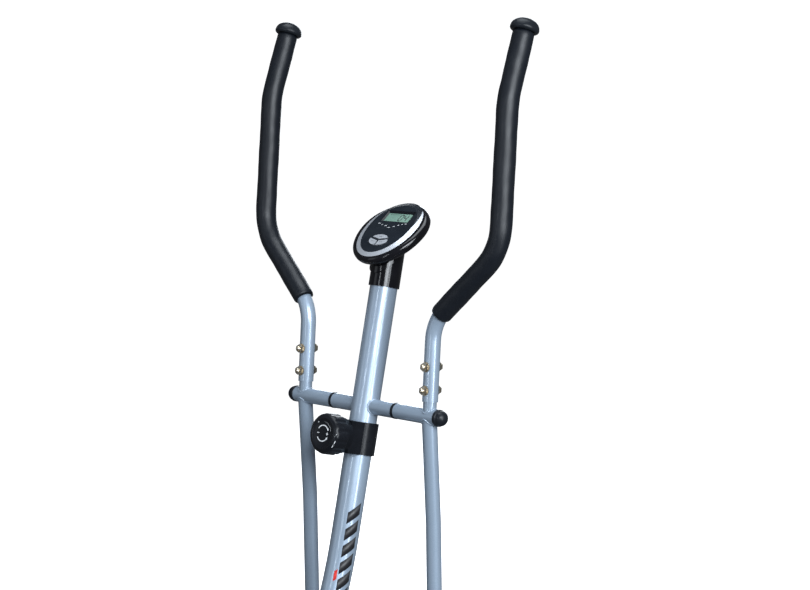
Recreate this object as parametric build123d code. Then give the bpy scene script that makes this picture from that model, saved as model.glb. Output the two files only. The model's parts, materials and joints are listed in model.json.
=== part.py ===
from build123d import *
import math
import os

# Elliptical trainer with a rear drive. Millimetres; X is the user's right, Y is
# forward and Z is up. The origin is on the floor under the middle of the machine.

# ---------------------------------------------------------------- overall sizes
HALF_LENGTH = 610.0          # middle of the machine to the wheels in front or caps behind
BAR_Y = 320.0                # cross tube, forward of the middle
BAR_Z = 880.0                # cross tube, above the floor
ARM_X = 161.0                # swing arm tube, from the middle plane
GAP = 0.3                    # between neighbours that move
FIT = 0.05                   # radial clearance of a running fit
SEAT = 0.2                   # radial clearance of one tube in another

# ---------------------------------------------------------------- mast
MAST_R = 25.0
MAST_WALL = 2.0
MAST_LEAN = 12.5             # degrees forward, upper part
MAST_FOOT_LEAN = 20.0        # degrees forward, lower part
MAST_BEND_Z = 587.0          # height of the corner of the bend
MAST_BEND_R = 1000.0
MAST_FOOT_Z = 133.0          # centre of the mast's lower end
MAST_TOP = 262.0             # along the mast from the cross tube to the mast's top
MAST_BOLTS = [40.0, 75.0]    # up the mast from its lower end
COVER_WALL = 2.5
COVER_ROOM = 10.0            # foot cover's crown beyond the mast

# ---------------------------------------------------------------- cross tube and pivots
BAR_R = 14.0
BAR_WALL = 2.5
BAR_HALF = 77.0              # half the cross tube's length
AXLE_R = 8.0
AXLE_HALF = 170.0
FLANGE = 5.7                 # width of the bush's flange
FLANGE_RISE = 0.6            # bush flange beyond the cross tube
SLEEVE_WALL = 2.0
SLEEVE_OVERHANG = 20.0       # sleeve beyond the arm tube
CAP_RISE = 1.0               # sleeve cap beyond the sleeve
CAP_RIM = 7.0
CAP_DOME = 13.0

# ---------------------------------------------------------------- swing arms
ARM_R = 13.5
ARM_WALL = 2.0
STUB_R = 12.0
STUB_LENGTH = 112.0
ARM_ELBOW_DROP = 190.0       # below the cross tube
ARM_ELBOW_LEAN = 3.2         # degrees, above the elbow
FOOT_PIVOT_Z = 290.0
FOOT_PIVOT_FORWARD = 19.0    # forward of the cross tube
FOOT_BUSH_R = 16.0
FOOT_BUSH_HALF = 22.0

HANDLE_WALL = 1.8
HANDLE_STEP = 26.0           # handlebar's lower end above the cross tube
HANDLE_CORNERS = [           # from the arm pivot: outward, forward, up
    (0.0, 11.0, 165.0),
    (140.0, 26.0, 296.0),
    (139.0, 45.0, 549.0),
    (138.0, 85.5, 664.0),
]
HANDLE_RADII = [75.0, 100.0, 140.0]
GRIP_FOAM = 5.0
GRIP_START = 20.0            # past the first corner
GRIP_CAP_RISE = 6.0          # grip cap beyond the foam
GRIP_CAP_H = 21.0
BOLT_HEIGHTS = [46.0, 87.0]  # through bolts, above the cross tube along the handlebar
BOLT_R = 4.0
NUT_FLATS = 13.0
WASHER_T = 1.6

# ---------------------------------------------------------------- console
CONSOLE_RISE = 72.2          # along the mast, from its top to the face plane
CONSOLE_SHIFT = -14.3        # face centre from the mast's axis, up the face
FACE_SLOPE = 38.5            # degrees above the horizontal
SHELL_HALF = 77.0            # outline of the black shell
SHELL_TOP = 68.0
SHELL_BOTTOM = 84.0
SHELL_SHOULDER = 8.0         # rounding of the shell's front edge
COVER_HALF = 64.0            # outline of the silver border
COVER_TOP = 66.0
COVER_BOTTOM = 77.0
FLAT_HALF = 53.0             # flat part of the face
FLAT_TOP = 56.0
FLAT_BOTTOM = 69.0
FACE_FALL = 3.0              # drop of the sloped border
CONSOLE_DEPTH = 23.0
SHELL_WALL = 2.5
SHELL_LIP = 4.0              # thickness of the shell's front ring
SKIN = 3.0                   # thickness of the face
WINDOW = (71.0, 29.0)
WINDOW_UP = 28.5
LCD = (59.0, 21.0)
LCD_UP = 26.2
LCD_DEPTH = 1.6              # display sheet below the face
KEYS_UP = -35.0
KEYS_HALF = (21.5, 13.7)
KEY_GAP = 4.6
KEY_RISE = 1.4
KEY_TRAVEL = 1.2
KEY_FLANGE = 0.7             # keeps a key behind the face
NECK_OVERLAP = 47.0          # neck sleeve over the mast
NECK_WALL = 2.8
COLLAR_WALL = 3.0            # collar beyond the neck sleeve
COLLAR_DROP = 14.0

# ---------------------------------------------------------------- tension control
TENSION_DOWN = 58.5          # along the mast, below the cross tube
CLAMP_HEIGHT = 58.0
CLAMP_WALL = 4.5
CLAMP_PAD = 19.5             # flat seat of the housing beyond the clamp
HOUSING_R = 32.0
HOUSING_LENGTH = 13.0
KNOB_DEPTH = 32.0
KNOB_SHOULDER = 10.0
KNOB_R = 36.5
KNOB_LOBES = 12
KNOB_HOLE_R = 5.0
CABLE_R = 2.5

# ---------------------------------------------------------------- floor frame
SPINE_W = 40.0
SPINE_H = 60.0
SPINE_WALL = 2.5
STAB_R = 25.0
STAB_WALL = 2.0
STAB_Z = 34.0
FRONT_STAB_HALF = 220.0
REAR_STAB_HALF = 240.0
FOOT_CAP_R = 30.0
FOOT_CAP_GRIP = 48.0         # cap over the tube
FOOT_CAP_END = 14.0
SADDLE_HALF = 46.0
SADDLE_T = 4.0
STAB_BOLT_X = 34.0
WHEEL_R = 22.0
WHEEL_W = 20.0
WHEEL_AHEAD = 50.0           # wheel axle ahead of the front stabilizer
WHEEL_Z = 28.0
WHEEL_X = 150.0

# ---------------------------------------------------------------- drive
CRANK_AHEAD = 260.0          # crank axle ahead of the rear stabilizer
CRANK_R = 130.0
CRANK_AXLE_R = 8.5
AXLE_PAST_ARM = 12.0         # crank axle beyond the crank arm
CRANK_ARM_GAP = 6.0          # crank arm from the casing
CRANK_ARM_T = 14.0
PULLEY_R = 120.0
PULLEY_W = 16.0
BELT_X = 32.0
BELT_T = 3.0
BELT_W = 12.0
SMALL_PULLEY_R = 18.0
PULLEY_ROOM = 17.0           # between the two pulleys
FLY_Z = 250.0
FLY_R = 95.0
FLY_X = -23.0
FLY_W = 22.0
FLY_AXLE_R = 5.0
EAR_ROOM = 6.0               # pulley to the fork that holds the flywheel
EAR_T = 4.0
BRAKE_OPEN = 5.0             # degrees the magnets swing clear of the rim
MAGNET_GAP = 2.0
MAGNET_T = 6.0
MAGNET_ANGLES = [52.0, 70.0, 88.0, 106.0]
BRACKET_T = 3.0
BRACKET_HALF = 15.0
BRACKET_LIP = 1.6
BRACKET_SPAN = (36.0, 118.0)   # degrees about the flywheel, from forward towards up
PIVOT_ANGLE = 34.0
CABLE_STOP_Z = 300.0
BEARING_R = 17.5
BEARING_W = 10.0
CASE_ROOM = 8.0              # fork to the casing's side
CASE_WALL = 2.5
CASE_AROUND_PULLEY = 18.0
CASE_AROUND_BRAKE = 16.0
CASE_BOTTOM_GAP = 1.0

# ---------------------------------------------------------------- pedals
PEDAL_TUBE_R = 17.0
PIN_R = 8.0
PIN_HOUSING_R = 20.0
PIN_HOUSING_HALF = 18.0
PLATE = (120.0, 340.0)       # foot plate, across and along
PLATE_INBOARD = 35.0         # plate's inner edge from the pedal tube
PLATE_BACK = 110.0           # plate's rear edge ahead of the crank pin
PLATE_T = 5.0
PLATE_RIM = 28.0
FORK_T = 5.0

# ---------------------------------------------------------------- places worked out
SPINE_BOTTOM = STAB_Z + STAB_R + 1.0
SPINE_TOP = SPINE_BOTTOM + SPINE_H
SPINE_MID = (SPINE_BOTTOM + SPINE_TOP) / 2
FRONT_STAB_Y = HALF_LENGTH - WHEEL_R - WHEEL_AHEAD
REAR_STAB_Y = -(HALF_LENGTH - FOOT_CAP_R)
CRANK_Y = REAR_STAB_Y + CRANK_AHEAD
FOOT_PIVOT_Y = BAR_Y + FOOT_PIVOT_FORWARD
CRANK_Z = FOOT_PIVOT_Z
FLANGE_R = BAR_R + FLANGE_RISE
SLEEVE_BORE_R = BAR_R - SLEEVE_WALL
CAP_RIM_R = BAR_R + CAP_RISE
HANDLE_BORE_R = STUB_R + SEAT
HANDLE_R = HANDLE_BORE_R + HANDLE_WALL
GRIP_R = HANDLE_R + GRIP_FOAM
GRIP_CAP_R = GRIP_R + GRIP_CAP_RISE
CONSOLE_UP = MAST_TOP + CONSOLE_RISE
NECK_START = MAST_TOP - NECK_OVERLAP
NECK_R = MAST_R + SEAT + NECK_WALL
COLLAR_R = NECK_R + COLLAR_WALL
CLAMP_R = MAST_R + CLAMP_WALL
HOUSING_BACK = CLAMP_R + CLAMP_PAD + FIT
KNOB_BACK = HOUSING_BACK + HOUSING_LENGTH + GAP
FLY_Y = CRANK_Y - PULLEY_R - SMALL_PULLEY_R - PULLEY_ROOM
BRACKET_R = FLY_R + MAGNET_GAP + MAGNET_T + BRACKET_T
EAR_X = BELT_X + PULLEY_W / 2 + EAR_ROOM
CASE_HALF = EAR_X + EAR_T + CASE_ROOM
CASE_CRANK_R = PULLEY_R + CASE_AROUND_PULLEY
CASE_FLY_R = BRACKET_R + CASE_AROUND_BRAKE
CRANK_ARM_X = CASE_HALF + CRANK_ARM_GAP
CRANK_AXLE_HALF = CRANK_ARM_X + CRANK_ARM_T + AXLE_PAST_ARM
SLEEVE_START = BAR_HALF + GAP + FLANGE
SLEEVE_END = ARM_X + SLEEVE_OVERHANG
BASE = (Align.CENTER, Align.CENTER, Align.MIN)


def sind(angle):
    return math.sin(math.radians(angle))


def cosd(angle):
    return math.cos(math.radians(angle))


def tand(angle):
    return math.tan(math.radians(angle))


# ---------------------------------------------------------------- shape helpers
def rod(start, end, radius):
    axis = Vector(*end) - Vector(*start)
    return Plane(origin=start, z_dir=axis) * Cylinder(radius, axis.length, align=BASE)


def ring(start, end, outer, inner):
    return rod(start, end, outer) - rod(start, end, inner)


def pipe(points, radii, outer, inner=0.0):
    """Tube along straight runs joined by arcs."""
    path = FilletPolyline(*points, radius=radii)
    section = Circle(outer)
    if inner > 0:
        section -= Circle(inner)
    return sweep(Plane(origin=path @ 0, z_dir=path % 0) * section, path=path)


def block(x_range, y_range, z_range):
    size = [high - low for low, high in (x_range, y_range, z_range)]
    middle = [(high + low) / 2 for low, high in (x_range, y_range, z_range)]
    return Pos(*middle) * Box(*size)


def dome(radius, height):
    """Cap of a ball that stands on the XY plane."""
    ball = (radius**2 + height**2) / (2 * height)
    keep = Box(2 * radius + 2, 2 * radius + 2, height, align=BASE)
    return (Pos(0, 0, height - ball) * Sphere(ball)) & keep


def hexagon(flats, height):
    return extrude(RegularPolygon(flats / 2, 6, major_radius=False), amount=height)


def washer(radius, bore, height):
    return Cylinder(radius, height, align=BASE) - Cylinder(bore, height, align=BASE)


def domed_nut(radius, at, hole):
    """Washer and acorn nut that stand on the XY plane raised by at."""
    disc = Pos(0, 0, at) * washer(2.25 * radius, radius + 0.1, WASHER_T)
    height = 1.6 * radius
    nut = hexagon(NUT_FLATS * radius / BOLT_R, height)
    nut += Pos(0, 0, height) * dome(1.25 * radius, 1.2 * radius)
    nut -= Cylinder(radius + FIT, hole, align=BASE)
    return [disc, Pos(0, 0, at + WASHER_T) * nut]


def carriage_bolt(head_at, nut_at, radius, tail):
    """Round head, shank, washer and domed nut along the line from head to nut."""
    axis = Vector(*nut_at) - Vector(*head_at)
    grip = axis.length
    head = Rot(180, 0, 0) * dome(2.1 * radius, 1.05 * radius)
    bolt = head + Cylinder(radius, grip + tail, align=BASE)
    place = Plane(origin=head_at, z_dir=axis)
    return [place * piece for piece in (bolt, *domed_nut(radius, grip, tail + 0.5))]


def machine_bolt(head_at, nut_at, radius, tail):
    """Hexagon head on a washer, shank, washer and domed nut."""
    axis = Vector(*nut_at) - Vector(*head_at)
    grip = axis.length
    bolt = Pos(0, 0, -WASHER_T) * Rot(180, 0, 0) * hexagon(NUT_FLATS, 1.3 * radius)
    bolt += Pos(0, 0, -WASHER_T) * Cylinder(radius, WASHER_T + grip + tail, align=BASE)
    disc = Pos(0, 0, -WASHER_T) * washer(2.25 * radius, radius + 0.1, WASHER_T)
    place = Plane(origin=head_at, z_dir=axis)
    return [place * piece for piece in (bolt, disc, *domed_nut(radius, grip, tail + 0.5))]


def hex_bolt(head_at, tip_at, radius):
    """Hexagon head outside head_at and a plain shank up to tip_at."""
    axis = Vector(*tip_at) - Vector(*head_at)
    bolt = Rot(180, 0, 0) * hexagon(3.25 * radius, 1.3 * radius)
    bolt += Cylinder(radius, axis.length, align=BASE)
    return Plane(origin=head_at, z_dir=axis) * bolt


def both(shape):
    """The piece and its mirror image on the other side."""
    return [shape, mirror(shape, about=Plane.YZ)]


def save(name, *pieces):
    solids = [solid for piece in pieces for solid in piece.solids()]
    shape = solids[0] if len(solids) == 1 else Compound(solids)
    export_step(shape, f"parts/{name}.step")
    print(name, len(solids))


# ---------------------------------------------------------------- mast
def on_mast(distance, outward=0.0, across=0.0):
    """Point along the upper mast, outward towards the user and square to the mast."""
    y = BAR_Y + distance * sind(MAST_LEAN) - outward * cosd(MAST_LEAN)
    z = BAR_Z + distance * cosd(MAST_LEAN) + outward * sind(MAST_LEAN)
    return (across, y, z)


def mast_bend():
    return (0.0, BAR_Y - (BAR_Z - MAST_BEND_Z) * tand(MAST_LEAN), MAST_BEND_Z)


def mast_foot(z):
    bend = mast_bend()
    return (0.0, bend[1] - (bend[2] - z) * tand(MAST_FOOT_LEAN), z)


def up_foot(distance):
    """Point along the mast's lower run, up from its end."""
    end = mast_foot(MAST_FOOT_Z)
    y = end[1] + distance * sind(MAST_FOOT_LEAN)
    return (0.0, y, end[2] + distance * cosd(MAST_FOOT_LEAN))


def make_mast():
    route = [mast_foot(MAST_FOOT_Z), mast_bend(), on_mast(MAST_TOP)]
    mast = pipe(route, [MAST_BEND_R], MAST_R, MAST_R - MAST_WALL)
    mast -= rod((-BAR_HALF, BAR_Y, BAR_Z), (BAR_HALF, BAR_Y, BAR_Z), BAR_R + FIT)
    centre = on_mast(-TENSION_DOWN)
    mast -= rod(centre, on_mast(-TENSION_DOWN, MAST_R + 5), KNOB_HOLE_R)
    for distance in MAST_BOLTS:
        x, y, z = up_foot(distance)
        mast -= rod((-MAST_R - 2, y, z), (MAST_R + 2, y, z), BOLT_R + SEAT)
    save("mast", mast)
    save("crossbar", ring((-BAR_HALF, BAR_Y, BAR_Z), (BAR_HALF, BAR_Y, BAR_Z),
                          BAR_R, BAR_R - BAR_WALL))


# ---------------------------------------------------------------- pivots
def make_pivots():
    axle = rod((-AXLE_HALF, BAR_Y, BAR_Z), (AXLE_HALF, BAR_Y, BAR_Z), AXLE_R)
    nut_height = 7.0
    thread_r = 5.0
    bolt_end = AXLE_HALF + nut_height + 1
    axle += rod((-bolt_end, BAR_Y, BAR_Z), (bolt_end, BAR_Y, BAR_Z), thread_r)
    nut = hexagon(17.0, nut_height) - Cylinder(thread_r + FIT, nut_height, align=BASE)
    nut = Plane(origin=(AXLE_HALF, BAR_Y, BAR_Z), z_dir=(1, 0, 0)) * nut
    save("pivot_axle", axle, *both(nut))

    inner_start = BAR_HALF + GAP / 2
    inner = rod((inner_start, BAR_Y, BAR_Z), (inner_start + FLANGE, BAR_Y, BAR_Z), FLANGE_R)
    inner += rod((inner_start, BAR_Y, BAR_Z), (inner_start + 35, BAR_Y, BAR_Z),
                 SLEEVE_BORE_R - FIT)
    bore_r = AXLE_R + FIT
    inner -= rod((inner_start, BAR_Y, BAR_Z), (inner_start + 35, BAR_Y, BAR_Z), bore_r)
    outer = ring((AXLE_HALF - 22, BAR_Y, BAR_Z), (AXLE_HALF - 2, BAR_Y, BAR_Z),
                 SLEEVE_BORE_R - FIT, bore_r)
    save("pivot_bushes", *both(inner), *both(outer))


# ---------------------------------------------------------------- swing arms
def handle_points():
    return [(ARM_X + x, BAR_Y + y, BAR_Z + z) for x, y, z in HANDLE_CORNERS]


def stub_direction():
    x, y, z = HANDLE_CORNERS[0]
    return Vector(x, y, z).normalized()


def up_stub(distance, back=0.0):
    """Point along the stub, back towards the user and square to it."""
    along = stub_direction()
    aft = Vector(0, -along.Z, along.Y)
    point = Vector(ARM_X, BAR_Y, BAR_Z) + along * distance + aft * back
    return (point.X, point.Y, point.Z)


def bolt_cuts(radius):
    cuts = [rod(up_stub(h, -30), up_stub(h, 30), radius) for h in BOLT_HEIGHTS]
    return cuts[0] + cuts[1]


def make_arm():
    """Right arm: the pieces that swing about the cross tube."""
    elbow_y = BAR_Y + ARM_ELBOW_DROP * tand(ARM_ELBOW_LEAN)
    route = [(ARM_X, BAR_Y, BAR_Z), (ARM_X, elbow_y, BAR_Z - ARM_ELBOW_DROP),
             (ARM_X, FOOT_PIVOT_Y, FOOT_PIVOT_Z)]
    tube = pipe(route, [400.0], ARM_R, ARM_R - ARM_WALL)
    tube += ring(up_stub(0), up_stub(STUB_LENGTH), STUB_R, STUB_R - ARM_WALL)
    tube += rod((SLEEVE_START, BAR_Y, BAR_Z), (SLEEVE_END, BAR_Y, BAR_Z), BAR_R)
    pivot = (FOOT_PIVOT_Y, FOOT_PIVOT_Z)
    tube += rod((ARM_X - FOOT_BUSH_HALF, *pivot), (ARM_X + FOOT_BUSH_HALF, *pivot), FOOT_BUSH_R)
    tube -= rod((SLEEVE_START, BAR_Y, BAR_Z), (SLEEVE_END, BAR_Y, BAR_Z), SLEEVE_BORE_R)
    tube -= rod((ARM_X - FOOT_BUSH_HALF, *pivot), (ARM_X + FOOT_BUSH_HALF, *pivot), PIN_R + FIT)
    tube -= bolt_cuts(BOLT_R + SEAT)

    points = handle_points()
    bar = pipe([up_stub(HANDLE_STEP), *points], HANDLE_RADII, HANDLE_R, HANDLE_BORE_R)
    bar -= bolt_cuts(BOLT_R + SEAT)

    first, second = Vector(*points[0]), Vector(*points[1])
    run = (second - first).normalized()
    grip = pipe([up_stub(HANDLE_STEP), *points], HANDLE_RADII, GRIP_R, HANDLE_R + FIT)
    grip = split(grip, bisect_by=Plane(origin=first + run * GRIP_START, z_dir=run),
                 keep=Keep.TOP)

    end = Vector(*points[3])
    tip = Plane(origin=end, z_dir=end - Vector(*points[2]))
    skirt = 8.0
    cap = Cylinder(GRIP_CAP_R, skirt, align=BASE)
    cap = fillet(cap.edges().group_by(Axis.Z)[0], 3.0)
    cap += Pos(0, 0, skirt) * dome(GRIP_CAP_R, GRIP_CAP_H - skirt)
    cap += Pos(0, 0, -25) * Cylinder(HANDLE_BORE_R - SEAT, 26, align=BASE)
    cap = tip * Pos(0, 0, FIT) * cap

    sleeve_end = Plane(origin=(SLEEVE_END, BAR_Y, BAR_Z), z_dir=(1, 0, 0))
    knob = Pos(0, 0, FIT) * Cylinder(CAP_RIM_R, CAP_RIM, align=BASE)
    knob += Pos(0, 0, FIT + CAP_RIM) * dome(CAP_RIM_R - 1, CAP_DOME)
    skirt_wall = 1.2
    skirt_outer = Cylinder(SLEEVE_BORE_R - FIT, 8, align=BASE)
    skirt_inner = Cylinder(SLEEVE_BORE_R - FIT - skirt_wall, 8, align=BASE)
    knob += Pos(0, 0, FIT - 8) * (skirt_outer - skirt_inner)
    sleeve_cap = sleeve_end * knob

    bolts = []
    for height in BOLT_HEIGHTS:
        bolts += machine_bolt(up_stub(height, -HANDLE_R), up_stub(height, HANDLE_R), BOLT_R, 8.5)
    return {"swing_tube": [tube], "handlebar": [bar], "grip": [grip], "grip_cap": [cap],
            "sleeve_cap": [sleeve_cap], "handlebar_bolts": bolts}


def make_arms():
    for name, pieces in make_arm().items():
        save(name + "_right", *pieces)
        save(name + "_left", *[mirror(piece, about=Plane.YZ) for piece in pieces])


# ---------------------------------------------------------------- pedals
def pedal_length():
    """Crank pin to arm pivot, with the crank upright."""
    return math.hypot(FOOT_PIVOT_Y - CRANK_Y, CRANK_R)


def pedal_pieces():
    """Pedal laid level: the crank pin on X at the origin, the arm pivot ahead on Y."""
    length = pedal_length()
    fork_in = FOOT_BUSH_HALF + 0.5
    fork_out = fork_in + FORK_T
    cross_y = length - 72
    tube = ring((0, 0, 0), (0, cross_y, 0), PEDAL_TUBE_R, PEDAL_TUBE_R - 2)
    tube += rod((-PIN_HOUSING_HALF, 0, 0), (PIN_HOUSING_HALF, 0, 0), PIN_HOUSING_R)
    tube -= rod((-PIN_HOUSING_HALF, 0, 0), (PIN_HOUSING_HALF, 0, 0), PIN_R + FIT)
    tube += block((-fork_out, fork_out), (cross_y - 2, cross_y + 4), (-20, 20))
    for side in (-1, 1):
        near, far = side * fork_in, side * fork_out
        cheek = rod((near, length, 0), (far, length, 0), 20)
        cheek += block(sorted((near, far)), (cross_y, length), (-20, 20))
        cheek -= rod((near, length, 0), (far, length, 0), PIN_R + FIT)
        tube += cheek

    plate_low = PEDAL_TUBE_R + 4
    x_range = (-PLATE_INBOARD, PLATE[0] - PLATE_INBOARD)
    y_range = (PLATE_BACK, PLATE_BACK + PLATE[1])
    strap_rows = [y_range[0] + 60, y_range[1] - 60]
    for y in strap_rows:
        tube += block((x_range[0] + 6, x_range[1] - 6), (y - 15, y + 15),
                      (PEDAL_TUBE_R - 5, plate_low))

    tray = block(x_range, y_range, (plate_low, plate_low + PLATE_RIM))
    tray = fillet(tray.edges().filter_by(Axis.Z), 22)
    hollow = block((x_range[0] + 4, x_range[1] - 4), (y_range[0] + 4, y_range[1] - 4),
                   (plate_low + PLATE_T, plate_low + PLATE_RIM + 1))
    hollow = fillet(hollow.edges().filter_by(Axis.Z), 18)
    tray -= hollow
    ramp_low = plate_low + PLATE_T + 3
    tray -= block((x_range[0] + 30, x_range[1] + 1), (y_range[0] - 1, y_range[0] + 40),
                  (ramp_low, plate_low + PLATE_RIM + 1))
    tray -= block((x_range[1] - 40, x_range[1] + 1), (y_range[0] - 1, y_range[1] - 110),
                  (ramp_low, plate_low + PLATE_RIM + 1))
    hole_columns = [-PEDAL_TUBE_R - 6.0, x_range[1] - 30.0]
    tread_top = plate_low + PLATE_T + 1.2
    tread_count = 13
    for index in range(tread_count):
        y = y_range[0] + 50 + index * (PLATE[1] - 100) / (tread_count - 1)
        tray += block((hole_columns[0] + 9, hole_columns[1] - 9), (y - 3, y + 3),
                      (plate_low + PLATE_T - 0.5, tread_top))

    screws = []
    for x in hole_columns:
        for y in [row + 9.25 for row in strap_rows]:
            cut = rod((x, y, 0), (x, y, plate_low + 20), 3 + SEAT)
            tray -= cut
            tube -= cut
            screws += carriage_bolt((x, y, plate_low + PLATE_T), (x, y, PEDAL_TUBE_R - 5), 3.0, 5)

    pin_reach = ARM_X - CRANK_ARM_X - CRANK_ARM_T - 1.0
    pin = rod((-pin_reach, 0, 0), (PIN_HOUSING_HALF + 1, 0, 0), PIN_R)
    pin += Plane(origin=(PIN_HOUSING_HALF + GAP, 0, 0), z_dir=(1, 0, 0)) * dome(14, 7)
    spacer_start = -PIN_HOUSING_HALF - 12
    pin += rod((spacer_start, 0, 0), (-PIN_HOUSING_HALF - GAP, 0, 0), 12)
    joint_bolt = rod((-fork_out - GAP, length, 0), (fork_out + 1, length, 0), PIN_R)
    head = Plane(origin=(-fork_out - GAP, length, 0), z_dir=(-1, 0, 0)) * dome(14, 6)
    tail = Plane(origin=(fork_out + GAP, length, 0), z_dir=(1, 0, 0)) * hexagon(22, 7)
    return {"pedal_tube": [tube], "foot_plate": [tray],
            "pedal_bolts": [pin, joint_bolt + head + tail, *screws]}


def make_pedals():
    tilt = math.degrees(math.asin(CRANK_R / pedal_length()))
    pieces = pedal_pieces()
    for side, name, pin_z in ((1, "right", CRANK_Z + CRANK_R), (-1, "left", CRANK_Z - CRANK_R)):
        place = Pos(side * ARM_X, CRANK_Y, pin_z) * Rot(-side * tilt, 0, 0)
        for key, shapes in pieces.items():
            turned = shapes if side > 0 else [mirror(s, about=Plane.YZ) for s in shapes]
            save(f"{key}_{name}", *[place * shape for shape in turned])


# ---------------------------------------------------------------- console
def egg(half, top, bottom, shift=2.0):
    """Two half ellipses that meet at their widest line."""
    reach = 2 * (half + top + bottom)
    upper = Ellipse(half, top) & (Pos(0, reach / 2) * Rectangle(reach, reach))
    lower = Ellipse(half, bottom) & (Pos(0, -reach / 2) * Rectangle(reach, reach))
    return Pos(0, shift) * (upper + lower)


def console_plane(depth=0.0):
    """Face plane: local X across, local Y up the face, local Z out of the face."""
    point = Vector(*on_mast(CONSOLE_UP))
    up = Vector(0, cosd(FACE_SLOPE), sind(FACE_SLOPE))
    out = Vector(0, -sind(FACE_SLOPE), cosd(FACE_SLOPE))
    return Plane(origin=point + up * CONSOLE_SHIFT + out * depth, x_dir=(1, 0, 0), z_dir=out)


def slab(sketch, low, high):
    return extrude(Pos(0, 0, low) * sketch, amount=high - low)


def face_zone():
    """The dark part of the face: it narrows upward and runs out over the top edge."""
    over = COVER_TOP + 20
    tip = FLAT_HALF - 17
    outline = [
        EllipticalCenterArc((0, 2), FLAT_HALF, FLAT_BOTTOM, 180, arc_size=180),
        ThreePointArc((FLAT_HALF, 2), (FLAT_HALF - 2.5, 34), (tip, COVER_TOP - 5)),
        Polyline((tip, COVER_TOP - 5), (tip, over), (-tip, over), (-tip, COVER_TOP - 5)),
        ThreePointArc((-tip, COVER_TOP - 5), (2.5 - FLAT_HALF, 34), (-FLAT_HALF, 2)),
    ]
    return make_face(outline)


def key_outlines(grow=0.0):
    """Three keys in one oval, parted by a Y-shaped gap, each grown all round."""
    oval = Ellipse(KEYS_HALF[0] + grow, KEYS_HALF[1] + grow)
    rise = 5.0
    reach = 2 * KEYS_HALF[0]
    slope = math.degrees(math.atan2(rise, KEYS_HALF[0]))
    gap = KEY_GAP / 2 - grow
    upper = make_face(Polyline((0, gap), (reach, gap + reach * tand(slope)), (reach, reach),
                               (-reach, reach), (-reach, gap + reach * tand(slope)), (0, gap)))
    right = make_face(Polyline((gap, -gap), (reach, -gap + reach * tand(slope)),
                               (reach, -reach), (gap, -reach), (gap, -gap)))
    left = mirror(right, about=Plane.YZ)
    parts = {"key_top": oval & upper, "key_right": oval & right, "key_left": oval & left}
    return {name: Pos(0, KEYS_UP) * part for name, part in parts.items()}


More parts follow.
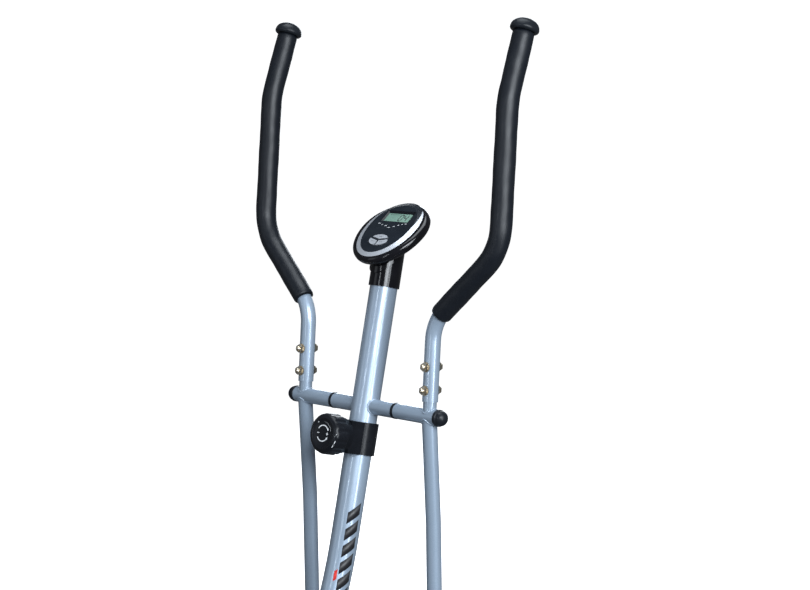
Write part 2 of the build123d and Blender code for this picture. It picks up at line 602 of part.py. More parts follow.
def make_console():
    place = console_plane()
    cover = loft([Pos(0, 0, -FACE_FALL) * egg(COVER_HALF, COVER_TOP, COVER_BOTTOM),
                  egg(FLAT_HALF, FLAT_TOP, FLAT_BOTTOM)])
    pocket = egg(FLAT_HALF - SKIN, FLAT_TOP - SKIN, FLAT_BOTTOM - SKIN)
    pocket += Pos(0, LCD_UP) * Rectangle(LCD[0] + 2, LCD[1] + 2)
    cover -= slab(pocket, -FACE_FALL - 1, -SKIN)
    zone = slab(face_zone(), -FACE_FALL - 1, 1)
    face = cover & zone
    trim = cover - zone
    window = Pos(0, WINDOW_UP) * RectangleRounded(*WINDOW, 3)
    face -= slab(window, -SKIN - 1, 1)
    openings = key_outlines(GAP)
    flanges = key_outlines(KEY_FLANGE)
    for name, key_outline in key_outlines().items():
        face -= slab(openings[name], -SKIN - 1, 1)
        key = slab(key_outline, -SKIN - 0.5, KEY_RISE)
        key += slab(flanges[name], -SKIN - 2, -SKIN - GAP)
        save(name, place * key)
    save("console_face", place * face)
    save("console_trim", place * trim)

    lcd_sheet = Pos(0, LCD_UP) * Rectangle(*LCD)
    bezel = loft([Pos(0, WINDOW_UP, -SKIN) * RectangleRounded(WINDOW[0] - 1, WINDOW[1] - 1, 2),
                  Pos(0, WINDOW_UP, -0.4) * RectangleRounded(*[w - 0.2 for w in WINDOW], 2.9)])
    tunnel = loft([Pos(0, LCD_UP, -SKIN - 0.01) * Rectangle(*[w + 2 * FIT for w in LCD]),
                   Pos(0, WINDOW_UP, -0.39) * Rectangle(WINDOW[0] - 2.4, WINDOW[1] - 2.4)])
    save("display_bezel", place * (bezel - tunnel))
    glass = slab(lcd_sheet, -SKIN - 5.2, -LCD_DEPTH)
    save("display_panel", place * glass)

    board_top = -SKIN - 7.4
    board_gap = 8.0
    board = slab(egg(FLAT_HALF - board_gap, FLAT_TOP - board_gap, FLAT_BOTTOM - board_gap),
                 board_top - 1.6, board_top)
    switch_top = -SKIN - 2 - KEY_TRAVEL - GAP
    for x, y in ((0, 8), (-9, -4), (9, -4)):
        board += slab(Pos(x, KEYS_UP + y) * Rectangle(6, 6), board_top, switch_top)
    save("circuit_board", place * board)

    back = slab(egg(SHELL_HALF, SHELL_TOP, SHELL_BOTTOM), -CONSOLE_DEPTH, -FACE_FALL)
    back = fillet(back.edges().group_by(Axis.Z)[0], 11)
    back = fillet(back.edges().group_by(Axis.Z)[-1], SHELL_SHOULDER)
    lining = egg(SHELL_HALF - SHELL_WALL, SHELL_TOP - SHELL_WALL, SHELL_BOTTOM - SHELL_WALL)
    inside = slab(lining, SHELL_WALL - CONSOLE_DEPTH, -FACE_FALL - SHELL_LIP)
    inside = fillet(inside.edges().group_by(Axis.Z)[0], 7)
    inside = fillet(inside.edges().group_by(Axis.Z)[-1], SHELL_SHOULDER - SHELL_WALL)
    mouth = egg(COVER_HALF - SHELL_WALL, COVER_TOP - SHELL_WALL, COVER_BOTTOM - SHELL_WALL)
    inside += slab(mouth, -FACE_FALL - SHELL_LIP - 1, -FACE_FALL + 1)
    back = place * (back - inside)
    mast_line = rod(on_mast(NECK_START), on_mast(CONSOLE_UP), COLLAR_R)
    collar = split(mast_line, bisect_by=console_plane(-CONSOLE_DEPTH + 1), keep=Keep.BOTTOM)
    collar = split(collar, bisect_by=console_plane(-CONSOLE_DEPTH - COLLAR_DROP), keep=Keep.TOP)
    back += collar
    back -= rod(on_mast(NECK_START - 5), on_mast(MAST_TOP + 1), MAST_R + SEAT)
    save("console_back", back)

    neck = ring(on_mast(NECK_START), on_mast(CONSOLE_UP), NECK_R, MAST_R + SEAT)
    seat = console_plane(-CONSOLE_DEPTH - COLLAR_DROP - FIT)
    save("console_neck", split(neck, bisect_by=seat, keep=Keep.BOTTOM))


# ---------------------------------------------------------------- tension control
def tension_plane(outward=0.0):
    """Local Z out of the mast towards the user, local Y up the mast."""
    out = Vector(0, -cosd(MAST_LEAN), sind(MAST_LEAN))
    point = Vector(*on_mast(-TENSION_DOWN))
    return Plane(origin=point + out * outward, x_dir=(1, 0, 0), z_dir=out)


def make_tension():
    half = CLAMP_HEIGHT / 2
    cheek = 24.0
    clamp = rod(on_mast(-TENSION_DOWN - half), on_mast(-TENSION_DOWN + half), CLAMP_R)
    pad = Box(2 * cheek, CLAMP_HEIGHT, CLAMP_R + CLAMP_PAD, align=BASE)
    clamp += tension_plane() * pad
    clamp -= rod(on_mast(-TENSION_DOWN - half - 1), on_mast(-TENSION_DOWN + half + 1),
                 MAST_R + FIT)
    groove = 0.7
    for angle in (52, 100, -52, -100):
        line = Rot(0, angle, 0) * Pos(0, 0, CLAMP_R) * Box(groove, CLAMP_HEIGHT + 2, 2 * groove)
        clamp -= tension_plane() * line
    clamp -= tension_plane() * Cylinder(KNOB_HOLE_R, CLAMP_R + CLAMP_PAD + 2, align=BASE)
    save("mast_clamp", clamp)

    shaft_r = KNOB_HOLE_R
    housing = Cylinder(HOUSING_R, HOUSING_LENGTH, align=BASE)
    housing = fillet(housing.edges().group_by(Axis.Z)[-1], 1.5)
    housing += Pos(0, 0, HOUSING_LENGTH) * Cylinder(shaft_r + 3, 6, align=BASE)
    housing -= Cylinder(shaft_r, HOUSING_LENGTH + 7, align=BASE)
    save("tension_housing", tension_plane(HOUSING_BACK) * housing)

    knob = Cylinder(KNOB_R, KNOB_DEPTH, align=BASE)
    notch = Pos(KNOB_R + 4, 0, 0) * Cylinder(5.6, KNOB_DEPTH, align=BASE)
    for index in range(KNOB_LOBES):
        knob -= Rot(0, 0, index * 360 / KNOB_LOBES) * notch
    crown = Pos(0, 0, -KNOB_DEPTH) * Cylinder(KNOB_R + 1, 2 * KNOB_DEPTH, align=BASE)
    knob &= fillet(crown.edges().group_by(Axis.Z)[-1], KNOB_SHOULDER)
    knob -= Cylinder(shaft_r + 3 + GAP, 7, align=BASE)
    knob += Pos(0, 0, -8) * Cylinder(shaft_r - FIT, 16, align=BASE)
    knob -= Pos(0, 0, KNOB_DEPTH - 0.6) * washer(24, 22.8, 2)
    save("tension_knob", tension_plane(KNOB_BACK) * knob)


# ---------------------------------------------------------------- floor frame
def spine_end(front):
    if front:
        return FRONT_STAB_Y + 18
    return REAR_STAB_Y - 18


def make_saddle(y):
    half = SADDLE_HALF
    shell = ring((-half, y, STAB_Z), (half, y, STAB_Z), STAB_R + FIT + SADDLE_T, STAB_R + FIT)
    low = STAB_Z + 8
    return shell & block((-half, half), (y - 40, y + 40), (low, low + 40))


def post_bore(radius):
    start = up_foot(-34)
    return rod(start, up_foot(105), radius)


def make_main_frame():
    rear, front = spine_end(False), spine_end(True)
    half = SPINE_W / 2
    spine = block((-half, half), (rear, front), (SPINE_BOTTOM, SPINE_TOP))
    spine = fillet(spine.edges().filter_by(Axis.Y), 6)
    inner = block((SPINE_WALL - half, half - SPINE_WALL), (rear + 3, front - 3),
                  (SPINE_BOTTOM + SPINE_WALL, SPINE_TOP - SPINE_WALL))
    post_r = MAST_R - MAST_WALL - SEAT
    post = split(post_bore(post_r), bisect_by=Plane.XY.offset(SPINE_TOP - 2), keep=Keep.TOP)

    housing = rod((-50, CRANK_Y, CRANK_Z), (18, CRANK_Y, CRANK_Z), 23)
    frame = spine + post + housing + make_saddle(FRONT_STAB_Y) + make_saddle(REAR_STAB_Y)
    for x in (-30, -4):
        frame += block((x, x + 4), (CRANK_Y - 25, CRANK_Y + 25), (SPINE_TOP - 2, CRANK_Z))
    frame += block((-EAR_X - EAR_T, EAR_X + EAR_T), (FLY_Y - 25, FLY_Y + 25),
                   (SPINE_TOP - 1, SPINE_TOP + 3))
    for side in (-1, 1):
        ear = block(sorted((side * EAR_X, side * (EAR_X + EAR_T))),
                    (FLY_Y - 20, FLY_Y + 20), (SPINE_TOP, FLY_Z))
        ear += rod((side * EAR_X, FLY_Y, FLY_Z), (side * (EAR_X + EAR_T), FLY_Y, FLY_Z), 20)
        ear -= rod((side * (EAR_X - 6), FLY_Y, FLY_Z), (side * (EAR_X + EAR_T + 6), FLY_Y, FLY_Z),
                   FLY_AXLE_R + FIT)
        frame += ear

    pivot = brake_pivot()
    lug = rod((-6, *pivot), (-2, *pivot), 11)
    neck_sketch = Plane(origin=(-6, 0, 0), x_dir=(0, 1, 0), z_dir=(1, 0, 0)) * make_face(
        Polyline((pivot[0] - 4, pivot[1] + 11), (CRANK_Y, CRANK_Z + 22),
                 (CRANK_Y, CRANK_Z - 20), (pivot[0], pivot[1] - 11),
                 (pivot[0] - 4, pivot[1] + 11)))
    frame += lug + extrude(neck_sketch, amount=4)
    frame -= rod((-8, *pivot), (0, *pivot), 3 + FIT)

    stop_y, stop_z = cable_stop()[1:]
    frame += block((-9, 9), (stop_y - 18, stop_y - 12), (SPINE_TOP - 2, stop_z + 5))
    frame += block((-9, 9), (stop_y - 13, stop_y + 8), (stop_z, stop_z + 5))
    frame -= rod((0, stop_y, stop_z - 1), (0, stop_y, stop_z + 6), 1.6)

    frame -= inner
    frame -= post_bore(post_r - 2.5)
    frame -= rod((-50, CRANK_Y, CRANK_Z), (18, CRANK_Y, CRANK_Z), BEARING_R + FIT)
    for y in (FRONT_STAB_Y, REAR_STAB_Y):
        frame -= rod((-60, y, STAB_Z), (60, y, STAB_Z), STAB_R + FIT)
        for x in (-STAB_BOLT_X, STAB_BOLT_X):
            frame -= rod((x, y, STAB_Z), (x, y, SPINE_MID), BOLT_R + SEAT)
    for distance in MAST_BOLTS:
        x, y, z = up_foot(distance)
        frame -= rod((-MAST_R, y, z), (MAST_R, y, z), BOLT_R + 0.1)
    frame -= rod((0, stop_y, SPINE_MID), (0, stop_y, SPINE_TOP + 1), CABLE_R + 2)
    save("main_frame", frame)


def make_stabilizers():
    bolts = []
    for name, y, half in (("front_stabilizer", FRONT_STAB_Y, FRONT_STAB_HALF),
                          ("rear_stabilizer", REAR_STAB_Y, REAR_STAB_HALF)):
        tube = ring((-half, y, STAB_Z), (half, y, STAB_Z), STAB_R, STAB_R - STAB_WALL)
        head_z = STAB_Z - STAB_R
        nut_z = STAB_Z + STAB_R + SADDLE_T + 0.5
        for x in (-STAB_BOLT_X, STAB_BOLT_X):
            tube -= rod((x, y, 0), (x, y, 2 * STAB_Z), BOLT_R + SEAT)
            bolts += carriage_bolt((x, y, head_z), (x, y, nut_z), BOLT_R, 7)
        if y > 0:
            for x in (-WHEEL_X, WHEEL_X):
                tube = add_wheel_lugs(tube, x)
        save(name, tube)
        foot = rod((half - FOOT_CAP_GRIP, y, STAB_Z), (half + FOOT_CAP_END, y, STAB_Z), FOOT_CAP_R)
        foot += block((half - FOOT_CAP_GRIP, half + FOOT_CAP_END), (y - 21, y + 21), (0, STAB_Z))
        foot = fillet(foot.edges().group_by(Axis.X)[-1], 3)
        foot -= rod((half - FOOT_CAP_GRIP - 1, y, STAB_Z), (half + FIT, y, STAB_Z), STAB_R + FIT)
        save(name.split("_")[0] + "_foot_caps", *both(foot))

    wheel_y = FRONT_STAB_Y + WHEEL_AHEAD
    for x in (-WHEEL_X, WHEEL_X):
        side = math.copysign(1, x)
        reach = WHEEL_W / 2 + 1 + 3
        start = (x + side * reach, wheel_y, WHEEL_Z)
        bolts.append(hex_bolt(start, (x - side * (reach + 6), wheel_y, WHEEL_Z), BOLT_R))
    for side in (-1, 1):
        for distance in MAST_BOLTS:
            x, y, z = up_foot(distance)
            bolts.append(hex_bolt((side * MAST_R, y, z), (side * (MAST_R - 10), y, z), BOLT_R))
    save("frame_bolts", *bolts)

    for name, x in (("transport_wheel_right", WHEEL_X), ("transport_wheel_left", -WHEEL_X)):
        low, high = (x - WHEEL_W / 2, wheel_y, WHEEL_Z), (x + WHEEL_W / 2, wheel_y, WHEEL_Z)
        wheel = rod(low, high, WHEEL_R)
        wheel = fillet(wheel.edges(), 3)
        wheel -= rod(low, (x - WHEEL_W / 2 + 3, wheel_y, WHEEL_Z), WHEEL_R - 6)
        wheel -= rod((x + WHEEL_W / 2 - 3, wheel_y, WHEEL_Z), high, WHEEL_R - 6)
        wheel += rod(low, high, 8)
        save(name, wheel - rod(low, high, BOLT_R + FIT))


def add_wheel_lugs(tube, x):
    wheel_y = FRONT_STAB_Y + WHEEL_AHEAD
    near = WHEEL_W / 2 + 1
    for side in (-1, 1):
        x_range = sorted((x + side * near, x + side * (near + 3)))
        lug = block(x_range, (FRONT_STAB_Y + STAB_R - 4, wheel_y), (WHEEL_Z - 9, WHEEL_Z + 9))
        lug += rod((x_range[0], wheel_y, WHEEL_Z), (x_range[1], wheel_y, WHEEL_Z), 9)
        lug -= rod((x_range[0] - 1, wheel_y, WHEEL_Z), (x_range[1] + 1, wheel_y, WHEEL_Z),
                   BOLT_R + 0.1)
        tube += lug
    return tube


def make_mast_cover():
    base = mast_foot(SPINE_TOP + 0.5)
    top_at = 125.0
    wall = COVER_WALL
    top_r = MAST_R + COVER_ROOM
    half_x, half_y = top_r + 9, top_r + 31
    ground = Plane(origin=(0, base[1] + 8, SPINE_TOP + 0.5), z_dir=(0, 0, 1))
    lean = Vector(0, sind(MAST_FOOT_LEAN), cosd(MAST_FOOT_LEAN))

    def crown(distance, radius):
        return Plane(origin=up_foot(distance), x_dir=(1, 0, 0), z_dir=lean) * Circle(radius)

    cover = loft([ground * Ellipse(half_x, half_y), crown(top_at, top_r)])
    cavity = loft([ground * Ellipse(half_x - wall, half_y - wall),
                   crown(top_at - 4, top_r - wall)])
    cover -= cavity
    cover -= rod(up_foot(-5), up_foot(top_at + 5), MAST_R + SEAT)
    save("mast_cover", cover)


# ---------------------------------------------------------------- drive
def around_flywheel(angle, radius):
    """Y and Z of a point about the flywheel, the angle from forward towards up."""
    return (FLY_Y + radius * cosd(angle), FLY_Z + radius * sind(angle))


def brake_pivot():
    return around_flywheel(PIVOT_ANGLE, BRACKET_R + 3)


def cable_stop():
    end = around_flywheel(BRACKET_SPAN[1], BRACKET_R)
    return (0.0, end[0] - 5, CABLE_STOP_Z)


def turned_open(shape):
    pivot = brake_pivot()
    hinge = Axis((0, pivot[0], pivot[1]), (1, 0, 0))
    return shape.rotate(hinge, -BRAKE_OPEN)


def sector(start, end, inner, outer, x_low, x_high):
    """Part of a ring about the flywheel between two angles."""
    plane = Plane(origin=(x_low, FLY_Y, FLY_Z), x_dir=(0, 1, 0), z_dir=(1, 0, 0))
    reach = 2 * outer
    mid = (start + end) / 2
    wedge = make_face(Polyline((0, 0), (reach * cosd(start), reach * sind(start)),
                               (reach * cosd(mid), reach * sind(mid)),
                               (reach * cosd(end), reach * sind(end)), (0, 0)))
    return extrude(plane * ((Circle(outer) - Circle(inner)) & wedge), amount=x_high - x_low)


def make_brake():
    magnet_in = FLY_R + MAGNET_GAP
    plate_in = magnet_in + MAGNET_T
    low, high = FLY_X - BRACKET_HALF, FLY_X + BRACKET_HALF
    bracket = sector(*BRACKET_SPAN, plate_in, BRACKET_R, low, high)
    bracket += sector(*BRACKET_SPAN, FLY_R - 4, BRACKET_R, low, low + BRACKET_LIP)
    bracket += sector(*BRACKET_SPAN, FLY_R - 4, BRACKET_R, high - BRACKET_LIP, high)
    pivot = brake_pivot()
    bracket += rod((low, *pivot), (high, *pivot), 8)
    tab_at = around_flywheel(BRACKET_SPAN[1] - 2, plate_in - 2)
    bracket += block((high - BRACKET_LIP, 5), (tab_at[0] - 6, tab_at[0] + 6),
                     (tab_at[1] - 3, tab_at[1] + 2))
    bracket -= rod((low, *pivot), (high, *pivot), 3 + FIT)
    save("magnet_bracket", turned_open(bracket))
    magnets = []
    for angle in MAGNET_ANGLES:
        magnets.append(sector(angle - 7, angle + 7, magnet_in, plate_in - 0.02,
                              FLY_X - 10, FLY_X + 10))
    save("brake_magnets", *[turned_open(magnet) for magnet in magnets])
    pin = rod((low - 3, *pivot), (-2, *pivot), 3)
    pin += rod((low - 3, *pivot), (low - GAP, *pivot), 6)
    return pin


def belt_outline(extra):
    """Area inside an open belt that stands off both pulleys by extra."""
    big, small = PULLEY_R + extra, SMALL_PULLEY_R + extra
    along = Vector(FLY_Y - CRANK_Y, FLY_Z - CRANK_Z)
    spread = math.acos((big - small) / along.length)
    heading = math.atan2(along.Y, along.X)
    corners = []
    for sign in (1, -1):
        turn = heading + sign * spread
        way = (math.cos(turn), math.sin(turn))
        corners.append([(CRANK_Y + big * way[0], CRANK_Z + big * way[1]),
                        (FLY_Y + small * way[0], FLY_Z + small * way[1])])
    (a, b), (d, c) = corners
    area = make_face(Polyline(a, b, c, d, a))
    area += Pos(CRANK_Y, CRANK_Z) * Circle(big)
    area += Pos(FLY_Y, FLY_Z) * Circle(small)
    return area


def make_drive():
    centre = (CRANK_Y, CRANK_Z)
    axle = rod((-CRANK_AXLE_HALF, *centre), (CRANK_AXLE_HALF, *centre), CRANK_AXLE_R)
    nut = hexagon(24, 9) - Cylinder(CRANK_AXLE_R + FIT, 9, align=BASE)
    nut_x = CRANK_ARM_X + CRANK_ARM_T + 0.1
    nut = Plane(origin=(nut_x, *centre), z_dir=(1, 0, 0)) * nut
    save("crank_axle", axle, *both(nut))

    for name, side in (("crank_arm_right", 1), ("crank_arm_left", -1)):
        near, far = side * CRANK_ARM_X, side * (CRANK_ARM_X + CRANK_ARM_T)
        tip = (CRANK_Y, CRANK_Z + side * CRANK_R)
        arm = rod((near, *centre), (far, *centre), 20) + rod((near, *tip), (far, *tip), 17)
        arm += block(sorted((near, far)), (CRANK_Y - 15, CRANK_Y + 15),
                     sorted((CRANK_Z, CRANK_Z + side * CRANK_R)))
        arm += rod((side * (CASE_HALF + 1.5), *centre), (far, *centre), 13)
        arm -= rod((side * CASE_HALF, *centre), (far + side, *centre), CRANK_AXLE_R + 0.02)
        save(name, arm)

    low, high = BELT_X - PULLEY_W / 2, BELT_X + PULLEY_W / 2
    pulley = rod((low, *centre), (high, *centre), PULLEY_R + 3)
    pulley -= ring((BELT_X - BELT_W / 2 - 0.5, *centre), (BELT_X + BELT_W / 2 + 0.5, *centre),
                   PULLEY_R + 5, PULLEY_R)
    pulley -= ring((low, *centre), (BELT_X - 3, *centre), PULLEY_R - 12, 26)
    pulley -= ring((BELT_X + 3, *centre), (high, *centre), PULLEY_R - 12, 26)
    for index in range(6):
        angle = 60 * index + 30
        y = CRANK_Y + 68 * cosd(angle)
        z = CRANK_Z + 68 * sind(angle)
        pulley -= rod((low, y, z), (high, y, z), 22)
    save("drive_pulley", pulley - rod((low, *centre), (high, *centre), CRANK_AXLE_R + 0.02))

    bearings = [ring((x, *centre), (x + BEARING_W, *centre), BEARING_R, CRANK_AXLE_R + FIT)
                for x in (-48.0, 6.0)]
    save("crank_bearings", *bearings)

    belt = belt_outline(GAP + BELT_T) - belt_outline(GAP)
    belt_plane = Plane(origin=(BELT_X - BELT_W / 2, 0, 0), x_dir=(0, 1, 0), z_dir=(1, 0, 0))
    save("drive_belt", extrude(belt_plane * belt, amount=BELT_W))

    hub = (FLY_Y, FLY_Z)
    rim_low, rim_high = FLY_X - FLY_W / 2, FLY_X + FLY_W / 2
    wheel = ring((rim_low, *hub), (rim_high, *hub), FLY_R, FLY_R - 18)
    wheel += rod((FLY_X - 5, *hub), (FLY_X + 5, *hub), FLY_R - 17)
    wheel += rod((FLY_X - 15, *hub), (FLY_X + 15, *hub), 16)
    save("flywheel", wheel - rod((FLY_X - 15, *hub), (FLY_X + 15, *hub), FLY_AXLE_R + FIT))
    sheave = rod((FLY_X + 15.1, *hub), (low, *hub), 11)
    sheave += rod((low, *hub), (high, *hub), SMALL_PULLEY_R + 3)
    sheave -= ring((BELT_X - BELT_W / 2 - 0.5, *hub), (BELT_X + BELT_W / 2 + 0.5, *hub),
                   SMALL_PULLEY_R + 5, SMALL_PULLEY_R)
    sheave -= rod((FLY_X + 15, *hub), (high, *hub), FLY_AXLE_R + FIT)
    save("flywheel_pulley", sheave)

    reach = EAR_X + EAR_T
    nut_height = 4.0
    axle_half = reach + nut_height + 0.5
    axle = rod((-axle_half, *hub), (axle_half, *hub), FLY_AXLE_R)
    nut = hexagon(14, nut_height) - Cylinder(FLY_AXLE_R + FIT, nut_height, align=BASE)
    nut = Plane(origin=(reach + 0.1, *hub), z_dir=(1, 0, 0)) * nut
    spacer_left = ring((-EAR_X + 0.1, *hub), (FLY_X - 15 - GAP, *hub), 8, FLY_AXLE_R + FIT)
    spacer_right = ring((high + GAP, *hub), (EAR_X - 0.1, *hub), 8, FLY_AXLE_R + FIT)
    save("flywheel_axle", axle, *both(nut), spacer_left, spacer_right, make_brake())


def case_outline(inward):
    """Side view of the drive casing, moved inward by a wall."""
    crank = Pos(CRANK_Y, CRANK_Z) * Circle(CASE_CRANK_R - inward)
    fly = Pos(FLY_Y, FLY_Z) * Circle(CASE_FLY_R - inward)
    bottom = SPINE_TOP + CASE_BOTTOM_GAP + inward
    rear = FLY_Y - CASE_FLY_R + 28 + inward
    front = CRANK_Y + CASE_CRANK_R - 22 - inward
    skirt_top = bottom + 70
    skirt = Pos((rear + front) / 2, (bottom + skirt_top) / 2) * Rectangle(front - rear,
                                                                         skirt_top - bottom)
    return make_hull(crank.edges() + fly.edges() + skirt.edges())


def make_casing():
    plane = Plane(origin=(0, 0, 0), x_dir=(0, 1, 0), z_dir=(1, 0, 0))
    outer = extrude(plane * case_outline(0), amount=CASE_HALF)
    outer = fillet(outer.edges().group_by(Axis.X)[-1], 14)
    inner = extrude(plane * case_outline(CASE_WALL), amount=CASE_HALF - CASE_WALL)
    inner = fillet(inner.edges().group_by(Axis.X)[-1], 11.5)
    shell = outer - inner
    shell -= rod((0, CRANK_Y, CRANK_Z), (CASE_HALF + 5, CRANK_Y, CRANK_Z), 16)
    opening = block((-1, EAR_X + EAR_T + 2), (FLY_Y - 85, CRANK_Y + 60),
                    (SPINE_TOP - 5, SPINE_TOP + CASE_BOTTOM_GAP + CASE_WALL + 11))
    shell -= opening
    line = extrude(plane * (case_outline(14) - case_outline(16)), amount=0.8)
    shell -= Pos(CASE_HALF - 0.8, 0, 0) * line
    shell = split(shell, bisect_by=Plane.YZ.offset(0.1), keep=Keep.TOP)
    screws = []
    for y, z in ((CRANK_Y + 92, CRANK_Z + 60), (CRANK_Y + 80, CRANK_Z - 110),
                 (FLY_Y - 85, FLY_Z - 60), (FLY_Y - 60, FLY_Z + 75), (CRANK_Y - 60, CRANK_Z + 98)):
        shell -= rod((CASE_HALF - 4, y, z), (CASE_HALF + 1, y, z), 2.6)
        screw = rod((CASE_HALF - 12, y, z), (CASE_HALF, y, z), 2.5)
        screw += Plane(origin=(CASE_HALF, y, z), z_dir=(1, 0, 0)) * dome(5, 2)
        screws.append(screw)
    save("casing_right", shell)
    save("casing_left", mirror(shell, about=Plane.YZ))
    save("casing_screws", *[side for screw in screws for side in both(screw)])


# ---------------------------------------------------------------- tension cable
def make_cable():
    """From the knob housing down inside the mast, along the spine and up to its stop."""
    stop = cable_stop()
    foot = mast_foot(SPINE_MID)
    route = [on_mast(-TENSION_DOWN, 44), on_mast(-TENSION_DOWN), mast_bend(), foot,
             (0, stop[1], SPINE_MID), (0, stop[1], stop[2] - 0.1)]
    cable = pipe(route, [22.0, MAST_BEND_R, 45.0, 24.0], CABLE_R)
    save("tension_cable", cable)


os.makedirs("parts", exist_ok=True)
make_mast()
make_pivots()
make_arms()
make_pedals()
make_console()
make_tension()
make_main_frame()
make_stabilizers()
make_mast_cover()
make_drive()
make_casing()
make_cable()
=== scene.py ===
import json
import math

import bmesh
import bpy
from mathutils import Matrix, Vector
from mathutils.bvhtree import BVHTree


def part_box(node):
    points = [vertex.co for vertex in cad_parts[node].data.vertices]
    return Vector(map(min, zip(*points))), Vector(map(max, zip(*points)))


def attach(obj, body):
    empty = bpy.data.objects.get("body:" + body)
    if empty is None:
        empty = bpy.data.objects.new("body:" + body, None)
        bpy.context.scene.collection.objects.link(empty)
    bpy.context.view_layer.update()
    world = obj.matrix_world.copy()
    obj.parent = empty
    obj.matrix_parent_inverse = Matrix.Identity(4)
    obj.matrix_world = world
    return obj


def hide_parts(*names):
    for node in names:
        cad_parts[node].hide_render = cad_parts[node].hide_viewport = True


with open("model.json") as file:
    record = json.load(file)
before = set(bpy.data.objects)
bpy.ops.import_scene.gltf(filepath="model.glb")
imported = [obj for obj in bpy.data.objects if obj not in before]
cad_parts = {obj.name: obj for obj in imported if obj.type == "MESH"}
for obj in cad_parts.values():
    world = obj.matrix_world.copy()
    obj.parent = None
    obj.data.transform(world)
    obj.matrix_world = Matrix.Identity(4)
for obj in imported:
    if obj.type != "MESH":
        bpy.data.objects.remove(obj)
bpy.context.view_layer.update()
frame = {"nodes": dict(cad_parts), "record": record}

MM = 0.001
JOINTS = {joint["name"]: joint for joint in frame["record"]["behaviour"]["joints"]}


def joint_at(name):
    return Vector(JOINTS[name]["pos_m"])


# ---------------------------------------------------------------- places and sizes, metres
ARM_PIVOT = joint_at("right_arm_swing")
FOOT_PIVOT = joint_at("right_pedal_turn")
CRANK_CENTRE = joint_at("crank_spin")
ARM_X = FOOT_PIVOT.x
MAST_LEAN = math.radians(12.5)
MAST_WAY = Vector((0, math.sin(MAST_LEAN), math.cos(MAST_LEAN)))
MAST_FRONT = Vector((0, -math.cos(MAST_LEAN), math.sin(MAST_LEAN)))   # towards the user
MAST_R = 25 * MM
BAR_R = 14 * MM
STUB_R = 12 * MM
LOWER_TUBE_R = 13.5 * MM
LOWER_TUBE_LEAN = math.radians(-3.2)
HANDLE_R = 14 * MM
GRIP_R = 19 * MM
GRIP_START = 20 * MM
HANDLE_STEP = 26 * MM             # handlebar's lower end above the cross tube
# millimetres from the arm pivot: outward, forward, up
HANDLE_CORNERS = [(0, 11, 165), (140, 26, 296), (139, 45, 549), (138, 85.5, 664)]
HANDLE_RADII = [75, 100, 140]
SLEEVE_CAP_LENGTH = 20.05 * MM
BEAD_R = 1.7 * MM
RIPPLE_PITCH = 2.6 * MM
WELD_STEPS = 72
CONSOLE_UP = 334.2 * MM
CONSOLE_SHIFT = -14.3 * MM
FACE_SLOPE = math.radians(38.5)
FACE_UP = Vector((0, math.cos(FACE_SLOPE), math.sin(FACE_SLOPE)))
FACE_OUT = Vector((0, -math.sin(FACE_SLOPE), math.cos(FACE_SLOPE)))
FACE_ORIGIN = ARM_PIVOT + MAST_WAY * CONSOLE_UP + FACE_UP * CONSOLE_SHIFT
LCD_DEPTH = 1.6 * MM              # display sheet below the face
TENSION_DOWN = 58.5 * MM
KNOB_FRONT = 94.35 * MM
KNOB_DEPTH = 32 * MM
KNOB_R = 36.5 * MM
KNOB_SHOULDER = 10 * MM
KNOB_LOBES = 12
KNOB_PRINT_UP = 31.15 * MM        # print above the knob's back
CRANK_END_R = 17 * MM             # round end of the crank arm
TREAD_UP = 26.1 * MM              # foot plate's tread above the crank pin
TREAD_START = 170                 # millimetres from the crank pin to the first studs
STUD_ROWS, STUD_COLUMNS = 12, 7
LAMP_COLOUR = (0.88, 0.94, 1.0)
CAMERA_FROM_PIVOT = Vector((2.5606, -2.4403, 0.6105))
CAMERA_DOWN, CAMERA_TURN = 6.632, 45.225
CAMERA_LENS = 88.8


# ---------------------------------------------------------------- material tools
def new_material(name, colour, roughness=0.5, metallic=0.0, **more):
    """Principled material with fixed socket values; the nodes that vary are added after."""
    material = bpy.data.materials.new(name)
    material.use_nodes = True
    shader = material.node_tree.nodes["Principled BSDF"]
    shader.inputs["Base Color"].default_value = (*colour, 1)
    shader.inputs["Roughness"].default_value = roughness
    shader.inputs["Metallic"].default_value = metallic
    for socket, value in more.items():
        shader.inputs[socket.replace("_", " ")].default_value = value
    return material, material.node_tree, shader


def object_noise(tree, scale, detail=2.0, stretch=None):
    """Noise over the piece's own coordinates; stretch squeezes it along an axis."""
    coordinates = tree.nodes.new("ShaderNodeTexCoord")
    source = coordinates.outputs["Object"]
    if stretch:
        mapping = tree.nodes.new("ShaderNodeMapping")
        mapping.inputs["Scale"].default_value = stretch
        tree.links.new(source, mapping.inputs["Vector"])
        source = mapping.outputs["Vector"]
    noise = tree.nodes.new("ShaderNodeTexNoise")
    noise.inputs["Scale"].default_value = scale
    noise.inputs["Detail"].default_value = detail
    tree.links.new(source, noise.inputs["Vector"])
    return noise.outputs["Fac"]


def object_cells(tree, scale, output="Distance"):
    coordinates = tree.nodes.new("ShaderNodeTexCoord")
    cells = tree.nodes.new("ShaderNodeTexVoronoi")
    cells.inputs["Scale"].default_value = scale
    tree.links.new(coordinates.outputs["Object"], cells.inputs["Vector"])
    return cells.outputs[output]


def mapped(tree, value, low, high, from_low=0.3, from_high=0.7):
    node = tree.nodes.new("ShaderNodeMapRange")
    node.inputs["From Min"].default_value = from_low
    node.inputs["From Max"].default_value = from_high
    node.inputs["To Min"].default_value = low
    node.inputs["To Max"].default_value = high
    tree.links.new(value, node.inputs["Value"])
    return node.outputs["Result"]


